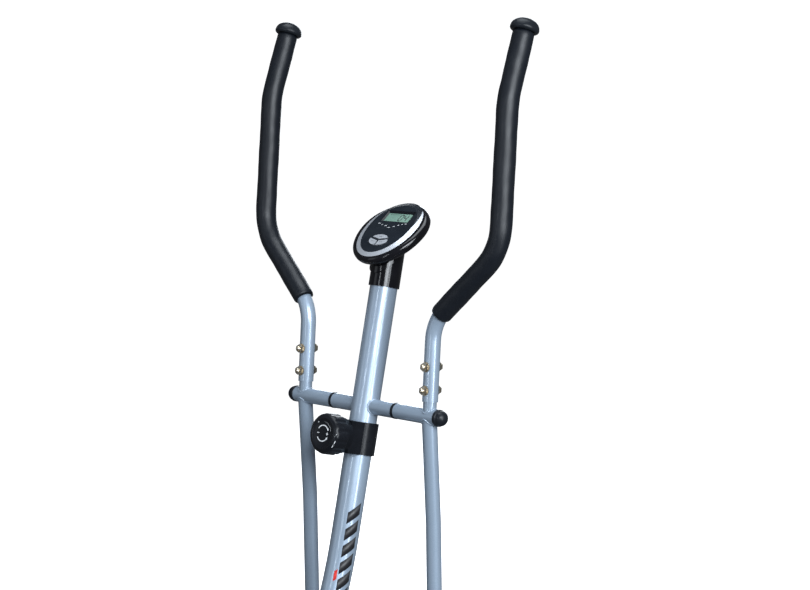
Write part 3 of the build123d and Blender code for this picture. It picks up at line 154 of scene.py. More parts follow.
def vary_colour(tree, shader, value, dark, light, from_low=0.3, from_high=0.7):
    ramp = tree.nodes.new("ShaderNodeValToRGB")
    ramp.color_ramp.elements[0].position = from_low
    ramp.color_ramp.elements[0].color = (*dark, 1)
    ramp.color_ramp.elements[1].position = from_high
    ramp.color_ramp.elements[1].color = (*light, 1)
    tree.links.new(value, ramp.inputs["Fac"])
    tree.links.new(ramp.outputs["Color"], shader.inputs["Base Color"])


def vary_roughness(tree, shader, value, low, high):
    tree.links.new(mapped(tree, value, low, high), shader.inputs["Roughness"])


def add_bump(tree, shader, heights, distance):
    """Bump from one height or from several, laid over each other."""
    normal = None
    for height, strength in heights:
        bump = tree.nodes.new("ShaderNodeBump")
        bump.inputs["Strength"].default_value = strength
        bump.inputs["Distance"].default_value = distance
        tree.links.new(height, bump.inputs["Height"])
        if normal:
            tree.links.new(normal, bump.inputs["Normal"])
        normal = bump.outputs["Normal"]
    tree.links.new(normal, shader.inputs["Normal"])


# ---------------------------------------------------------------- finishes
def make_paint():
    """Silver-blue metallic stove enamel with a slight orange peel."""
    material, tree, shader = new_material(
        "silver_blue_enamel", (0.25, 0.32, 0.41), 0.34, 0.3, Coat_Weight=0.7, Coat_Roughness=0.07)
    flakes = object_cells(tree, 2600, "Color")
    luma = tree.nodes.new("ShaderNodeSeparateColor")
    tree.links.new(flakes, luma.inputs["Color"])
    vary_colour(tree, shader, luma.outputs["Red"], (0.25, 0.318, 0.405), (0.312, 0.385, 0.472),
                0.1, 0.9)
    peel = object_noise(tree, 420, 2)
    drift = object_noise(tree, 14, 3)
    vary_roughness(tree, shader, drift, 0.3, 0.4)
    add_bump(tree, shader, [(peel, 0.12)], 0.0004)
    return material


def make_plated_steel():
    """Yellow-passivated zinc, as on furniture bolts."""
    material, tree, shader = new_material("warm_zinc_plate", (0.7, 0.6, 0.45), 0.28, 1.0)
    blotch = object_noise(tree, 260, 3)
    vary_colour(tree, shader, blotch, (0.56, 0.47, 0.34), (0.82, 0.75, 0.62))
    scratch = object_noise(tree, 900, 3, (1, 1, 6))
    vary_roughness(tree, shader, scratch, 0.2, 0.42)
    add_bump(tree, shader, [(scratch, 0.1)], 0.0002)
    return material


def make_bare_steel():
    material, tree, shader = new_material("zinc_steel", (0.5, 0.5, 0.51), 0.4, 1.0)
    grain = object_noise(tree, 700, 4, (6, 1, 1))
    vary_colour(tree, shader, object_noise(tree, 60, 3), (0.42, 0.42, 0.43), (0.58, 0.58, 0.6))
    vary_roughness(tree, shader, grain, 0.3, 0.5)
    add_bump(tree, shader, [(grain, 0.15)], 0.0003)
    return material


def make_cast_iron():
    material, tree, shader = new_material("grey_cast_iron", (0.12, 0.12, 0.125), 0.6, 0.7)
    sand = object_noise(tree, 800, 4)
    vary_colour(tree, shader, object_noise(tree, 40, 3), (0.09, 0.09, 0.09), (0.17, 0.17, 0.17))
    vary_roughness(tree, shader, sand, 0.45, 0.7)
    add_bump(tree, shader, [(sand, 0.4)], 0.0006)
    return material


def make_foam():
    """Closed-cell grip foam: a dull skin with fine open pores, their pits darkened with painted
    shade.
    """
    material, tree, shader = new_material(
        "grip_foam", (0.008, 0.01, 0.013), 0.42, 0.0, Specular_IOR_Level=0.35)
    pores = object_cells(tree, 950)
    skin = object_noise(tree, 1500, 3)
    swell = object_noise(tree, 45, 3)
    # painted shade: the colour is darkest at the pore centres, the same pits the bump cuts
    vary_colour(tree, shader, pores, (0.003, 0.004, 0.006), (0.006, 0.008, 0.012), 0.05, 0.6)
    vary_roughness(tree, shader, swell, 0.36, 0.45)
    add_bump(tree, shader, [(swell, 0.2), (skin, 0.12), (pores, 0.16)], 0.0005)
    return material


def make_plastic(name, dark, light, rough_low, rough_high, grain, strength, coat=0.0):
    """Moulded plastic: faint colour drift, uneven gloss and a moulded grain."""
    material, tree, shader = new_material(name, light, rough_high, 0.0, Coat_Weight=coat,
                                          Coat_Roughness=0.05, Specular_IOR_Level=0.22)
    vary_colour(tree, shader, object_noise(tree, 30, 3), dark, light)
    vary_roughness(tree, shader, object_noise(tree, 90, 3), rough_low, rough_high)
    add_bump(tree, shader, [(object_noise(tree, grain, 3), strength)], 0.0004)
    return material


def make_silver():
    """Silver-painted plastic of the console's border and keys."""
    material, tree, shader = new_material(
        "silver_lacquer", (0.52, 0.55, 0.6), 0.34, 0.5, Coat_Weight=0.4, Coat_Roughness=0.12)
    vary_colour(tree, shader, object_cells(tree, 3200, "Distance"), (0.48, 0.51, 0.56),
                (0.6, 0.63, 0.68), 0.1, 0.7)
    vary_roughness(tree, shader, object_noise(tree, 50, 3), 0.26, 0.38)
    add_bump(tree, shader, [(object_noise(tree, 500, 2), 0.06)], 0.0003)
    return material


def make_lcd():
    """Grey-green liquid crystal sheet behind glass."""
    material, tree, shader = new_material(
        "liquid_crystal", (0.3, 0.5, 0.4), 0.2, 0.0, Coat_Weight=1.0, Coat_Roughness=0.03)
    vary_colour(tree, shader, object_noise(tree, 22, 2), (0.13, 0.24, 0.19), (0.22, 0.36, 0.29))
    vary_roughness(tree, shader, object_noise(tree, 200, 2), 0.14, 0.22)
    add_bump(tree, shader, [(object_cells(tree, 2500), 0.05)], 0.0001)
    return material


def make_print(name, colour, wear):
    """Pad-printed ink, a little broken where the grain of the part shows through."""
    material, tree, shader = new_material(name, colour, 0.5)
    vary_colour(tree, shader, object_noise(tree, 700, 4), wear, colour, 0.25, 0.5)
    vary_roughness(tree, shader, object_noise(tree, 300, 2), 0.4, 0.55)
    return material


def make_floor_material():
    material, tree, shader = new_material("studio_floor", (0.93, 0.93, 0.93), 0.85)
    shader.inputs["Emission Color"].default_value = (1, 1, 1, 1)
    shader.inputs["Emission Strength"].default_value = 0.9
    vary_colour(tree, shader, object_noise(tree, 1.2, 3), (0.92, 0.92, 0.92), (0.94, 0.94, 0.94))
    return material


PAINT = make_paint()
PLATED = make_plated_steel()
STEEL = make_bare_steel()
IRON = make_cast_iron()
FOAM = make_foam()
SATIN_BLACK = make_plastic("satin_black_plastic", (0.005, 0.006, 0.008),
                           (0.009, 0.01, 0.013), 0.24, 0.34, 900, 0.05)
RUBBER_CAP = make_plastic("soft_cap_vinyl", (0.007, 0.009, 0.012), (0.012, 0.014, 0.018),
                          0.3, 0.4, 700, 0.08)
GLOSS_BLACK = make_plastic("gloss_black_plastic", (0.003, 0.003, 0.004),
                           (0.006, 0.006, 0.008), 0.12, 0.2, 300, 0.01, 0.3)
CASING_BLACK = make_plastic("textured_casing_plastic", (0.02, 0.021, 0.024),
                            (0.03, 0.031, 0.035), 0.42, 0.55, 1400, 0.5)
TREAD_BLACK = make_plastic("ribbed_tread_plastic", (0.018, 0.019, 0.02), (0.03, 0.031, 0.033),
                           0.5, 0.65, 1000, 0.4)
FACE_BLUE = make_plastic("midnight_face_plastic", (0.006, 0.009, 0.014), (0.01, 0.014, 0.02),
                         0.28, 0.36, 1100, 0.12, 0.1)
PULLEY_BLACK = make_plastic("pulley_nylon", (0.03, 0.03, 0.03), (0.05, 0.05, 0.05),
                            0.4, 0.5, 500, 0.2)
BELT_RUBBER = make_plastic("belt_rubber", (0.012, 0.012, 0.012), (0.02, 0.02, 0.02),
                           0.6, 0.75, 1600, 0.5)
WHEEL_RUBBER = make_plastic("wheel_rubber", (0.02, 0.02, 0.021), (0.035, 0.035, 0.036),
                            0.5, 0.65, 900, 0.35)
BOARD_GREEN = make_plastic("circuit_board_green", (0.01, 0.09, 0.04), (0.02, 0.13, 0.06),
                           0.35, 0.5, 1500, 0.2)
SILVER = make_silver()
LCD = make_lcd()
WHITE_INK = make_print("white_ink", (0.78, 0.8, 0.82), (0.6, 0.62, 0.64))
BLACK_INK = make_print("black_ink", (0.012, 0.012, 0.014), (0.03, 0.03, 0.034))
RED_INK = make_print("red_ink", (0.62, 0.03, 0.02), (0.5, 0.04, 0.03))

NODE_FINISHES = {
    "frame_paint": PAINT, "plated_steel": PLATED, "foam": FOAM, "cap_plastic": RUBBER_CAP,
    "casing_plastic": CASING_BLACK, "tread_plastic": TREAD_BLACK, "console_black": GLOSS_BLACK,
    "console_dark": FACE_BLUE, "console_silver": SILVER, "bezel_black": SATIN_BLACK,
    "lcd_glass": LCD, "board_green": BOARD_GREEN, "control_plastic": SATIN_BLACK,
    "cast_iron": IRON, "bare_steel": STEEL, "pulley_plastic": PULLEY_BLACK,
    "belt_rubber": BELT_RUBBER, "cable_sheath": SATIN_BLACK, "wheel_rubber": WHEEL_RUBBER,
}


def finish_nodes():
    """Every CAD node takes the finish of its material slot."""
    for subpart in frame["record"]["subparts"]:
        node = frame["nodes"][subpart["node"]]
        node.data.materials.clear()
        node.data.materials.append(NODE_FINISHES[subpart["material_slot"]])


# ---------------------------------------------------------------- mesh tools
def mesh_piece(name, vertices, faces, material, smooth=True):
    """New object at the origin, its faces turned outward."""
    mesh = bpy.data.meshes.new(name)
    mesh.from_pydata([tuple(v) for v in vertices], [], faces)
    work = bmesh.new()
    work.from_mesh(mesh)
    bmesh.ops.remove_doubles(work, verts=work.verts, dist=1e-7)
    bmesh.ops.recalc_face_normals(work, faces=work.faces)
    work.to_mesh(mesh)
    work.free()
    mesh.materials.append(material)
    mesh.polygons.foreach_set("use_smooth", [smooth] * len(mesh.polygons))
    piece = bpy.data.objects.new(name, mesh)
    bpy.context.collection.objects.link(piece)
    return piece


def plain_mesh(piece, name=None):
    """The piece with its modifiers worked in."""
    evaluated = piece.evaluated_get(bpy.context.evaluated_depsgraph_get())
    mesh = bpy.data.meshes.new_from_object(evaluated)
    made = bpy.data.objects.new(name or piece.name, mesh)
    bpy.context.collection.objects.link(made)
    bpy.data.objects.remove(piece, do_unlink=True)
    made.name = name or made.name
    return made


def round_edges(piece, width):
    """Bevels the sharp edges and keeps the flats flat."""
    bevel = piece.modifiers.new("edge", "BEVEL")
    bevel.width = width
    bevel.segments = 2
    bevel.limit_method = "ANGLE"
    bevel.angle_limit = math.radians(35)
    bevel.harden_normals = True
    return plain_mesh(piece)


def place(origin, z_way, x_way=(1, 0, 0)):
    """Matrix whose local Z is z_way and whose local X is near x_way."""
    z_axis = Vector(z_way).normalized()
    x_axis = Vector(x_way)
    x_axis = (x_axis - z_axis * x_axis.dot(z_axis)).normalized()
    y_axis = z_axis.cross(x_axis)
    turn = Matrix((x_axis, y_axis, z_axis)).transposed().to_4x4()
    return Matrix.Translation(origin) @ turn


def lathe(name, profile, where, material, steps=64):
    """Closed turned piece; the profile runs along local Z as (radius, height)."""
    vertices, faces, rows = [], [], []
    for radius, height in profile:
        if radius < 1e-6:
            rows.append([len(vertices)])
            vertices.append(where @ Vector((0, 0, height)))
            continue
        rows.append(list(range(len(vertices), len(vertices) + steps)))
        for index in range(steps):
            angle = 2 * math.pi * index / steps
            vertices.append(where @ Vector((radius * math.cos(angle),
                                            radius * math.sin(angle), height)))
    for lower, upper in zip(rows, rows[1:]):
        for index in range(steps):
            after = (index + 1) % steps
            if len(lower) == 1:
                faces.append((lower[0], upper[after], upper[index]))
            elif len(upper) == 1:
                faces.append((lower[index], lower[after], upper[0]))
            else:
                faces.append((lower[index], lower[after], upper[after], upper[index]))
    return mesh_piece(name, vertices, faces, material)


def arc_profile(centre, radius, start, end, steps):
    """Points of an arc in (radius, height), angles in degrees from outward to up."""
    points = []
    for index in range(steps + 1):
        angle = math.radians(start + (end - start) * index / steps)
        points.append((centre[0] + radius * math.cos(angle),
                       centre[1] + radius * math.sin(angle)))
    return points


def bent_line(corners, radii, step):
    """Points along straight runs joined by arcs, with the way at each point."""
    line = [(corners[0], (corners[1] - corners[0]).normalized())]
    for index, radius in enumerate(radii):
        before, corner, after = corners[index:index + 3]
        way_in = (corner - before).normalized()
        way_out = (after - corner).normalized()
        turn = way_in.angle(way_out)
        tangent = radius * math.tan(turn / 2)
        start = corner - way_in * tangent
        inward = (way_out - way_in * way_out.dot(way_in)).normalized()
        centre = start + inward * radius
        straight_from = line[-1][0]
        count = max(1, int((start - straight_from).length / (4 * step)))
        for k in range(1, count):
            line.append((straight_from.lerp(start, k / count), way_in))
        arc_steps = max(4, int(radius * turn / step))
        for k in range(arc_steps + 1):
            angle = turn * k / arc_steps
            point = centre - inward * radius * math.cos(angle) + way_in * radius * math.sin(angle)
            line.append((point, way_in * math.cos(angle) + inward * math.sin(angle)))
    last_from, last_to = line[-1][0], corners[-1]
    way = (last_to - last_from).normalized()
    count = max(2, int((last_to - last_from).length / (4 * step)))
    for k in range(1, count + 1):
        line.append((last_from.lerp(last_to, k / count), way))
    return line


# ---------------------------------------------------------------- geometry node tools
def node_tree(name, inputs):
    """Geometry tree with named inputs: (name, socket type, default)."""
    tree = bpy.data.node_groups.new(name, "GeometryNodeTree")
    tree.interface.new_socket("Geometry", in_out="INPUT", socket_type="NodeSocketGeometry")
    for label, kind, value in inputs:
        socket = tree.interface.new_socket(label, in_out="INPUT", socket_type=kind)
        if value is not None:
            socket.default_value = value
    tree.interface.new_socket("Geometry", in_out="OUTPUT", socket_type="NodeSocketGeometry")
    return tree, tree.nodes.new("NodeGroupInput"), tree.nodes.new("NodeGroupOutput")


def end_tree(tree, geometry, entry, leave):
    """Realize Instances, Set Material, output."""
    real = tree.nodes.new("GeometryNodeRealizeInstances")
    paint = tree.nodes.new("GeometryNodeSetMaterial")
    tree.links.new(geometry, real.inputs["Geometry"])
    tree.links.new(real.outputs["Geometry"], paint.inputs["Geometry"])
    tree.links.new(entry.outputs["Finish"], paint.inputs["Material"])
    tree.links.new(paint.outputs["Geometry"], leave.inputs["Geometry"])


def run_tree(piece, tree, values, name):
    """Runs a geometry tree on the piece and returns the plain mesh."""
    modifier = piece.modifiers.new(tree.name, "NODES")
    modifier.node_group = tree
    for item in tree.interface.items_tree:
        if item.item_type == "SOCKET" and item.in_out == "INPUT" and item.name in values:
            modifier[item.identifier] = values[item.name]
    return plain_mesh(piece, name)


def math_node(tree, operation, first, second):
    node = tree.nodes.new("ShaderNodeMath")
    node.operation = operation
    for socket, value in zip(node.inputs, (first, second)):
        if isinstance(value, (int, float)):
            socket.default_value = value
        else:
            tree.links.new(value, socket)
    return node.outputs["Value"]


def bead_tree():
    """A weld bead: a round section along a line, its radius rippling with the torch."""
    tree, entry, leave = node_tree("weld_bead", [
        ("Bead Radius", "NodeSocketFloat", 1.6 * MM), ("Ripples", "NodeSocketFloat", 40.0),
        ("Ripple Depth", "NodeSocketFloat", 0.12), ("Finish", "NodeSocketMaterial", None)])
    resample = tree.nodes.new("GeometryNodeResampleCurve")
    resample.inputs["Count"].default_value = 240
    tree.links.new(entry.outputs["Geometry"], resample.inputs["Curve"])
    along = tree.nodes.new("GeometryNodeSplineParameter").outputs["Factor"]
    phase = math_node(tree, "MULTIPLY", math_node(tree, "MULTIPLY", along, 2 * math.pi),
                      entry.outputs["Ripples"])
    wave = math_node(tree, "SINE", phase, 0.0)
    ripple = math_node(tree, "ADD", math_node(tree, "MULTIPLY", wave,
                                              entry.outputs["Ripple Depth"]), 1.0)
    size = tree.nodes.new("GeometryNodeSetCurveRadius")
    tree.links.new(resample.outputs["Curve"], size.inputs["Curve"])
    tree.links.new(math_node(tree, "MULTIPLY", ripple, entry.outputs["Bead Radius"]),
                   size.inputs["Radius"])
    section = tree.nodes.new("GeometryNodeCurvePrimitiveCircle")
    section.inputs["Resolution"].default_value = 10
    section.inputs["Radius"].default_value = 1.0
    sweep = tree.nodes.new("GeometryNodeCurveToMesh")
    tree.links.new(size.outputs["Curve"], sweep.inputs["Curve"])
    tree.links.new(section.outputs["Curve"], sweep.inputs["Profile Curve"])
    if "Scale" in sweep.inputs:
        radius = tree.nodes.new("GeometryNodeInputRadius")
        tree.links.new(radius.outputs["Radius"], sweep.inputs["Scale"])
    end_tree(tree, sweep.outputs["Mesh"], entry, leave)
    return tree


def scatter_tree(name, shape_node, shape_inputs):
    """One small shape set on every point of the mesh, turned and sized by its inputs."""
    tree, entry, leave = node_tree(name, [
        ("Size", "NodeSocketVector", None), ("Turn", "NodeSocketRotation", None),
        ("Finish", "NodeSocketMaterial", None)])
    shape = tree.nodes.new(shape_node)
    for label, value in shape_inputs.items():
        shape.inputs[label].default_value = value
    spread = tree.nodes.new("GeometryNodeInstanceOnPoints")
    tree.links.new(entry.outputs["Geometry"], spread.inputs["Points"])
    tree.links.new(shape.outputs["Mesh"], spread.inputs["Instance"])
    tree.links.new(entry.outputs["Turn"], spread.inputs["Rotation"])
    tree.links.new(entry.outputs["Size"], spread.inputs["Scale"])
    end_tree(tree, spread.outputs["Instances"], entry, leave)
    return tree


WELD_BEAD = bead_tree()
STUD = scatter_tree("tread_stud", "GeometryNodeMeshCone",
                    {"Vertices": 4, "Radius Top": 0.45, "Radius Bottom": 1.0, "Depth": 1.0})
BAR = scatter_tree("small_bar", "GeometryNodeMeshCube", {})


def curve_loop(points):
    """Closed curve through the points."""
    curve = bpy.data.curves.new("route", "CURVE")
    curve.dimensions = "3D"
    spline = curve.splines.new("POLY")
    spline.points.add(len(points) - 1)
    for slot, point in zip(spline.points, points):
        slot.co = (*point, 1)
    spline.use_cyclic_u = True
    made = bpy.data.objects.new("route", curve)
    bpy.context.collection.objects.link(made)
    return made


def weld(name, points, body):
    length = sum((a - b).length for a, b in zip(points, points[1:] + points[:1]))
    values = {"Bead Radius": BEAD_R, "Ripples": length / RIPPLE_PITCH, "Ripple Depth": 0.1,
              "Finish": PAINT}
    piece = run_tree(curve_loop(points), WELD_BEAD, values, name)
    smooth_all(piece)
    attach(piece, body)


def smooth_all(piece):
    piece.data.polygons.foreach_set("use_smooth", [True] * len(piece.data.polygons))


def scatter(name, tree, points, size, turn, material):
    """Small shapes on a list of points."""
    mesh = bpy.data.meshes.new(name)
    mesh.from_pydata([tuple(p) for p in points], [], [])
    holder = bpy.data.objects.new(name + "_points", mesh)
    bpy.context.collection.objects.link(holder)
    return run_tree(holder, tree, {"Size": size, "Turn": turn, "Finish": material}, name)


# ---------------------------------------------------------------- grips
def handle_corners(side):
    pivot = Vector((side * ARM_X, ARM_PIVOT.y, ARM_PIVOT.z))
    first = Vector(HANDLE_CORNERS[0]).normalized() * HANDLE_STEP
    corners = [pivot + first]
    for x, y, z in HANDLE_CORNERS:
        corners.append(pivot + Vector((side * x, y, z)) * MM)
    return corners


def make_grip(name, side, body):
    """Foam sleeve that follows the bent handlebar, its surface slightly uneven and its ends rolled
    in.
    """
    corners = handle_corners(side)
    run = (corners[2] - corners[1]).normalized()
    start = corners[1] + run * GRIP_START
    line = bent_line(corners, [r * MM for r in HANDLE_RADII], 4 * MM)
    line = [(p, w) for p, w in line if (p - start).dot(run) > 0 or p.z > corners[2].z]
    line.insert(0, (start, run))
    dense = []
    for (a, way_a), (b, way_b) in zip(line, line[1:]):
        count = max(1, round((b - a).length / (5 * MM)))
        for k in range(count):
            part = k / count
            dense.append((a.lerp(b, part), way_a.lerp(way_b, part).normalized()))
    dense.append(line[-1])
    lengths = [0.0]
    for (a, _), (b, _) in zip(dense, dense[1:]):
        lengths.append(lengths[-1] + (b - a).length)
    total = lengths[-1]
    steps = 48
    across = Vector((0, 1, 0))
    vertices, faces = [], []
    for (point, way), travelled in zip(dense, lengths):
        across = (across - way * across.dot(way)).normalized()
        other = way.cross(across)
        from_end = min(travelled, total - travelled)
        lip = 2.5 * MM * max(0.0, 1 - from_end / (3 * MM)) ** 2
        for k in range(steps):
            angle = 2 * math.pi * k / steps
            wander = 0.18 * MM * math.sin(70 * travelled + 2 * angle)
            wander += 0.12 * MM * math.sin(190 * travelled - 3 * angle + side)
            radius = GRIP_R - lip + wander
            vertices.append(point + (across * math.cos(angle) + other * math.sin(angle)) * radius)
    rows = len(dense)
    bore = HANDLE_R + 0.05 * MM
    for row in range(rows):
        point = dense[row][0]
        for k in range(steps):
            spoke = vertices[row * steps + k] - point
            vertices.append(point + spoke.normalized() * bore)
    inner = rows * steps
    for k in range(steps):
        after = (k + 1) % steps
        for row in range(rows - 1):
            a, b = row * steps, (row + 1) * steps
            faces.append((a + k, a + after, b + after, b + k))
            faces.append((inner + b + k, inner + b + after, inner + a + after, inner + a + k))
        last = (rows - 1) * steps
        faces.append((inner + k, inner + after, after, k))
        faces.append((last + k, last + after, inner + last + after, inner + last + k))
    grip = mesh_piece(name, vertices, faces, FOAM)
    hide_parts(name)
    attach(grip, body)
    return dense[-1]


def make_grip_cap(name, end, body):
    """Vinyl mushroom cap with a rolled rim and a low crown."""
    point, way = end
    profile = [(13 * MM, -0.5 * MM), (18.5 * MM, -0.5 * MM), (19.6 * MM, -1.6 * MM),
               (21 * MM, -2.2 * MM)]
    profile += arc_profile((19.6 * MM, 3.4 * MM), 5.8 * MM, -75, 20, 8)
    profile += [(24.6 * MM, 8 * MM), (23 * MM, 11.5 * MM), (20 * MM, 14.9 * MM),
                (15.5 * MM, 18 * MM), (10 * MM, 20 * MM), (5 * MM, 20.8 * MM), (0, 21 * MM)]
    profile = [(0, -0.5 * MM)] + profile
    cap = lathe(name, profile, place(point + way * 0.2 * MM, way), RUBBER_CAP)
    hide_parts(name)
    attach(cap, body)


def make_sleeve_cap(name, side, body):
    """Domed cap on the sleeve's outer end: a stepped rim and a ball-shaped crown."""
    low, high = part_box(name)
    outer = high.x if side > 0 else low.x
    rim_at = outer - side * SLEEVE_CAP_LENGTH
    profile = [(0, 0), (14.4 * MM, 0), (15.0 * MM, 0.6 * MM), (15.0 * MM, 5.6 * MM),
               (14.6 * MM, 6.4 * MM), (13.9 * MM, 6.6 * MM), (13.8 * MM, 7.2 * MM)]
    for index in range(1, 13):
        angle = math.radians(7.5 * index)
        profile.append((13.8 * MM * math.cos(angle), 7.2 * MM + 12.6 * MM * math.sin(angle)))
    where = place(Vector((rim_at, ARM_PIVOT.y, ARM_PIVOT.z)), (side, 0, 0), (0, 0, 1))
    cap = lathe(name, profile, where, RUBBER_CAP)
    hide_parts(name)
    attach(cap, body)


# ---------------------------------------------------------------- welds
def make_welds():
    """Beads where the cross tube meets the mast and where the arm tubes meet their sleeves."""
    loops = {}
    for side, label in ((1, "right"), (-1, "left")):
        points = []
        for k in range(WELD_STEPS):
            angle = 2 * math.pi * k / WELD_STEPS
            reach = BAR_R * math.cos(angle + MAST_LEAN)
            x = side * math.sqrt(MAST_R ** 2 - reach ** 2)
            points.append(ARM_PIVOT + Vector((x, BAR_R * math.cos(angle), BAR_R * math.sin(angle))))
        loops["weld_cross_" + label] = (points, "root")
        body = label + "_arm"
        stub_lean = math.atan2(HANDLE_CORNERS[0][1], HANDLE_CORNERS[0][2])
        for part, radius, sign, lean in (("stub", STUB_R, 1, stub_lean),
                                         ("tube", LOWER_TUBE_R, -1, LOWER_TUBE_LEAN)):
            points = []
            for k in range(WELD_STEPS):
                angle = 2 * math.pi * k / WELD_STEPS
                y = radius * math.sin(angle)
                z = sign * math.sqrt(BAR_R ** 2 - min(abs(y), BAR_R) ** 2)
                shift = z * math.tan(lean)
                points.append(Vector((side * ARM_X + radius * math.cos(angle),
                                      ARM_PIVOT.y + y + shift, ARM_PIVOT.z + z)))
            loops[f"weld_{part}_{label}"] = (points, body)
    for name, (points, body) in loops.items():
        weld(name, points, body)


# ---------------------------------------------------------------- tension knob
KNOB_AXIS_POINT = ARM_PIVOT - MAST_WAY * TENSION_DOWN
KNOB_PLACE = place(KNOB_AXIS_POINT + MAST_FRONT * (KNOB_FRONT - KNOB_DEPTH), MAST_FRONT)


def knob_edge(angle):
    """Radius of the knob's rim: broad lobes with shallow rounded notches."""
    wave = 0.5 + 0.5 * math.cos(KNOB_LOBES * angle)
    return KNOB_R - 1.7 * MM * (1 - wave) ** 4


def make_knob():
    steps = 240
    drum = KNOB_DEPTH - KNOB_SHOULDER
    levels = [(0.0, 12 * MM), (0.0, 1.2 * MM), (0.5 * MM, 0.2 * MM), (1.3 * MM, 0.0),
              (7.0 * MM, 0.0), (14.0 * MM, 0.0), (drum, 0.0)]
    for index in range(1, 9):
        angle = math.radians(90 * index / 8)
        levels.append((drum + KNOB_SHOULDER * math.sin(angle),
                       KNOB_SHOULDER * (1 - math.cos(angle))))
    vertices, faces = [], []
    for height, inset in levels:
        notched = max(0.0, min(1.0, (KNOB_DEPTH - 3 * MM - height) / (8 * MM)))
        for k in range(steps):
            angle = 2 * math.pi * k / steps
            radius = KNOB_R - inset + (knob_edge(angle) - KNOB_R) * notched
            vertices.append(KNOB_PLACE @ Vector((radius * math.cos(angle),
                                                 radius * math.sin(angle), height)))
    face = [(25.4, 31.5), (24.8, 31.1), (12.0, 31.0), (4.0, 31.0)]
    for radius, height in face:
        for k in range(steps):
            angle = 2 * math.pi * k / steps
            vertices.append(KNOB_PLACE @ Vector((radius * MM * math.cos(angle),
                                                 radius * MM * math.sin(angle), height * MM)))
    rows = len(levels) + len(face)
    for row in range(rows - 1):
        for k in range(steps):
            after = (k + 1) % steps
            faces.append((row * steps + k, row * steps + after,
                          (row + 1) * steps + after, (row + 1) * steps + k))
    for row, height in ((0, 0.0), (rows - 1, 31.0 * MM)):
        middle = len(vertices)
        vertices.append(KNOB_PLACE @ Vector((0, 0, height)))
        for k in range(steps):
            faces.append((row * steps + k, row * steps + (k + 1) % steps, middle))
    knob = mesh_piece("tension_knob", vertices, faces, SATIN_BLACK)
    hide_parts("tension_knob")
    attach(knob, "tension_knob")


def flat_shape(outline, height, where, depth):
    """Thin printed or raised solid: an outline in a plane, depth thick from height down."""
    count = len(outline)
    vertices = [where @ Vector((x, y, height)) for x, y in outline]
    vertices += [where @ Vector((x, y, height - depth)) for x, y in outline]
    faces = [tuple(range(count)), tuple(range(2 * count - 1, count - 1, -1))]
    for k in range(count):
        after = (k + 1) % count
        faces.append((k, after, count + after, count + k))
    return vertices, faces


def print_piece(name, outlines, height, where, material, body, depth=0.12 * MM):
    """Several flat shapes in one piece."""
    vertices, faces = [], []
    for outline in outlines:
        more, more_faces = flat_shape(outline, height, where, depth)
        offset = len(vertices)
        vertices += more
        faces += [tuple(index + offset for index in face) for face in more_faces]
    piece = mesh_piece(name, vertices, faces, material, smooth=False)
    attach(piece, body)


def arc_strip(inner, outer, start, end, centre=(0.0, 0.0), steps=18):
    """Outline of a curved strip, angles in degrees."""
    near, far = [], []
    for k in range(steps + 1):
        angle = math.radians(start + (end - start) * k / steps)
        way = (math.cos(angle), math.sin(angle))
        far.append((centre[0] + outer * way[0], centre[1] + outer * way[1]))
        near.append((centre[0] + inner * way[0], centre[1] + inner * way[1]))
    return far + near[::-1]


def arrow_tip(radius, angle, size, clockwise):
    """Triangle at the end of an arc, pointing along it."""
    turn = math.radians(angle)
    out = Vector((math.cos(turn), math.sin(turn)))
    along = Vector((-out.y, out.x)) * (-1 if clockwise else 1)
    middle = out * radius
    corners = (middle + out * size, middle + along * size * 1.7, middle - out * size)
    return [(corner.x, corner.y) for corner in corners]


def rectangle(x, y, width, height):
    return [(x - width / 2, y - height / 2), (x + width / 2, y - height / 2),
            (x + width / 2, y + height / 2), (x - width / 2, y + height / 2)]


def make_knob_print():
    """Two turning arrows with a plus and a minus between them, and a row of step marks."""
    shapes = [arc_strip(13.2 * MM, 15.0 * MM, 38, 148), arc_strip(13.2 * MM, 15.0 * MM, 212, 322)]
    shapes.append(arrow_tip(14.1 * MM, 38, 2.3 * MM, True))
    shapes.append(arrow_tip(14.1 * MM, 322, 2.3 * MM, False))
    shapes.append(rectangle(-11.5 * MM, 0, 5 * MM, 1.3 * MM))
    shapes.append(rectangle(11.5 * MM, 0, 5 * MM, 1.3 * MM))
    for rise in (-1.6, 1.6):
        shapes.append(rectangle(11.5 * MM, rise * MM, 1.3 * MM, 1.8 * MM))
    for index in range(9):
        angle = math.radians(20 + index * 8)
        size = (1.0 - 0.07 * index) * MM
        centre = (20.5 * MM * math.cos(angle), 20.5 * MM * math.sin(angle))
        corners = [angle + part for part in (0.5, 2.64, 3.64, 5.78)]
        shapes.append([(centre[0] + size * math.cos(a), centre[1] + size * math.sin(a))
                       for a in corners])
    shapes.append(arc_strip(0.0, 1.1 * MM, 0, 330, (-14.5 * MM, 18.5 * MM), 9)[:10])
    print_piece("knob_print", shapes, KNOB_PRINT_UP, KNOB_PLACE, WHITE_INK, "tension_knob")


def on_shoulder(turn, lift, out):
    """Point on the knob's rounded shoulder: turn about the axis, lift from the drum up."""
    around, up = math.radians(turn), math.radians(lift)
    radius = KNOB_R - KNOB_SHOULDER + (KNOB_SHOULDER + out) * math.cos(up)
    height = KNOB_DEPTH - KNOB_SHOULDER + (KNOB_SHOULDER + out) * math.sin(up)
    return KNOB_PLACE @ Vector((radius * math.cos(around), radius * math.sin(around), height))


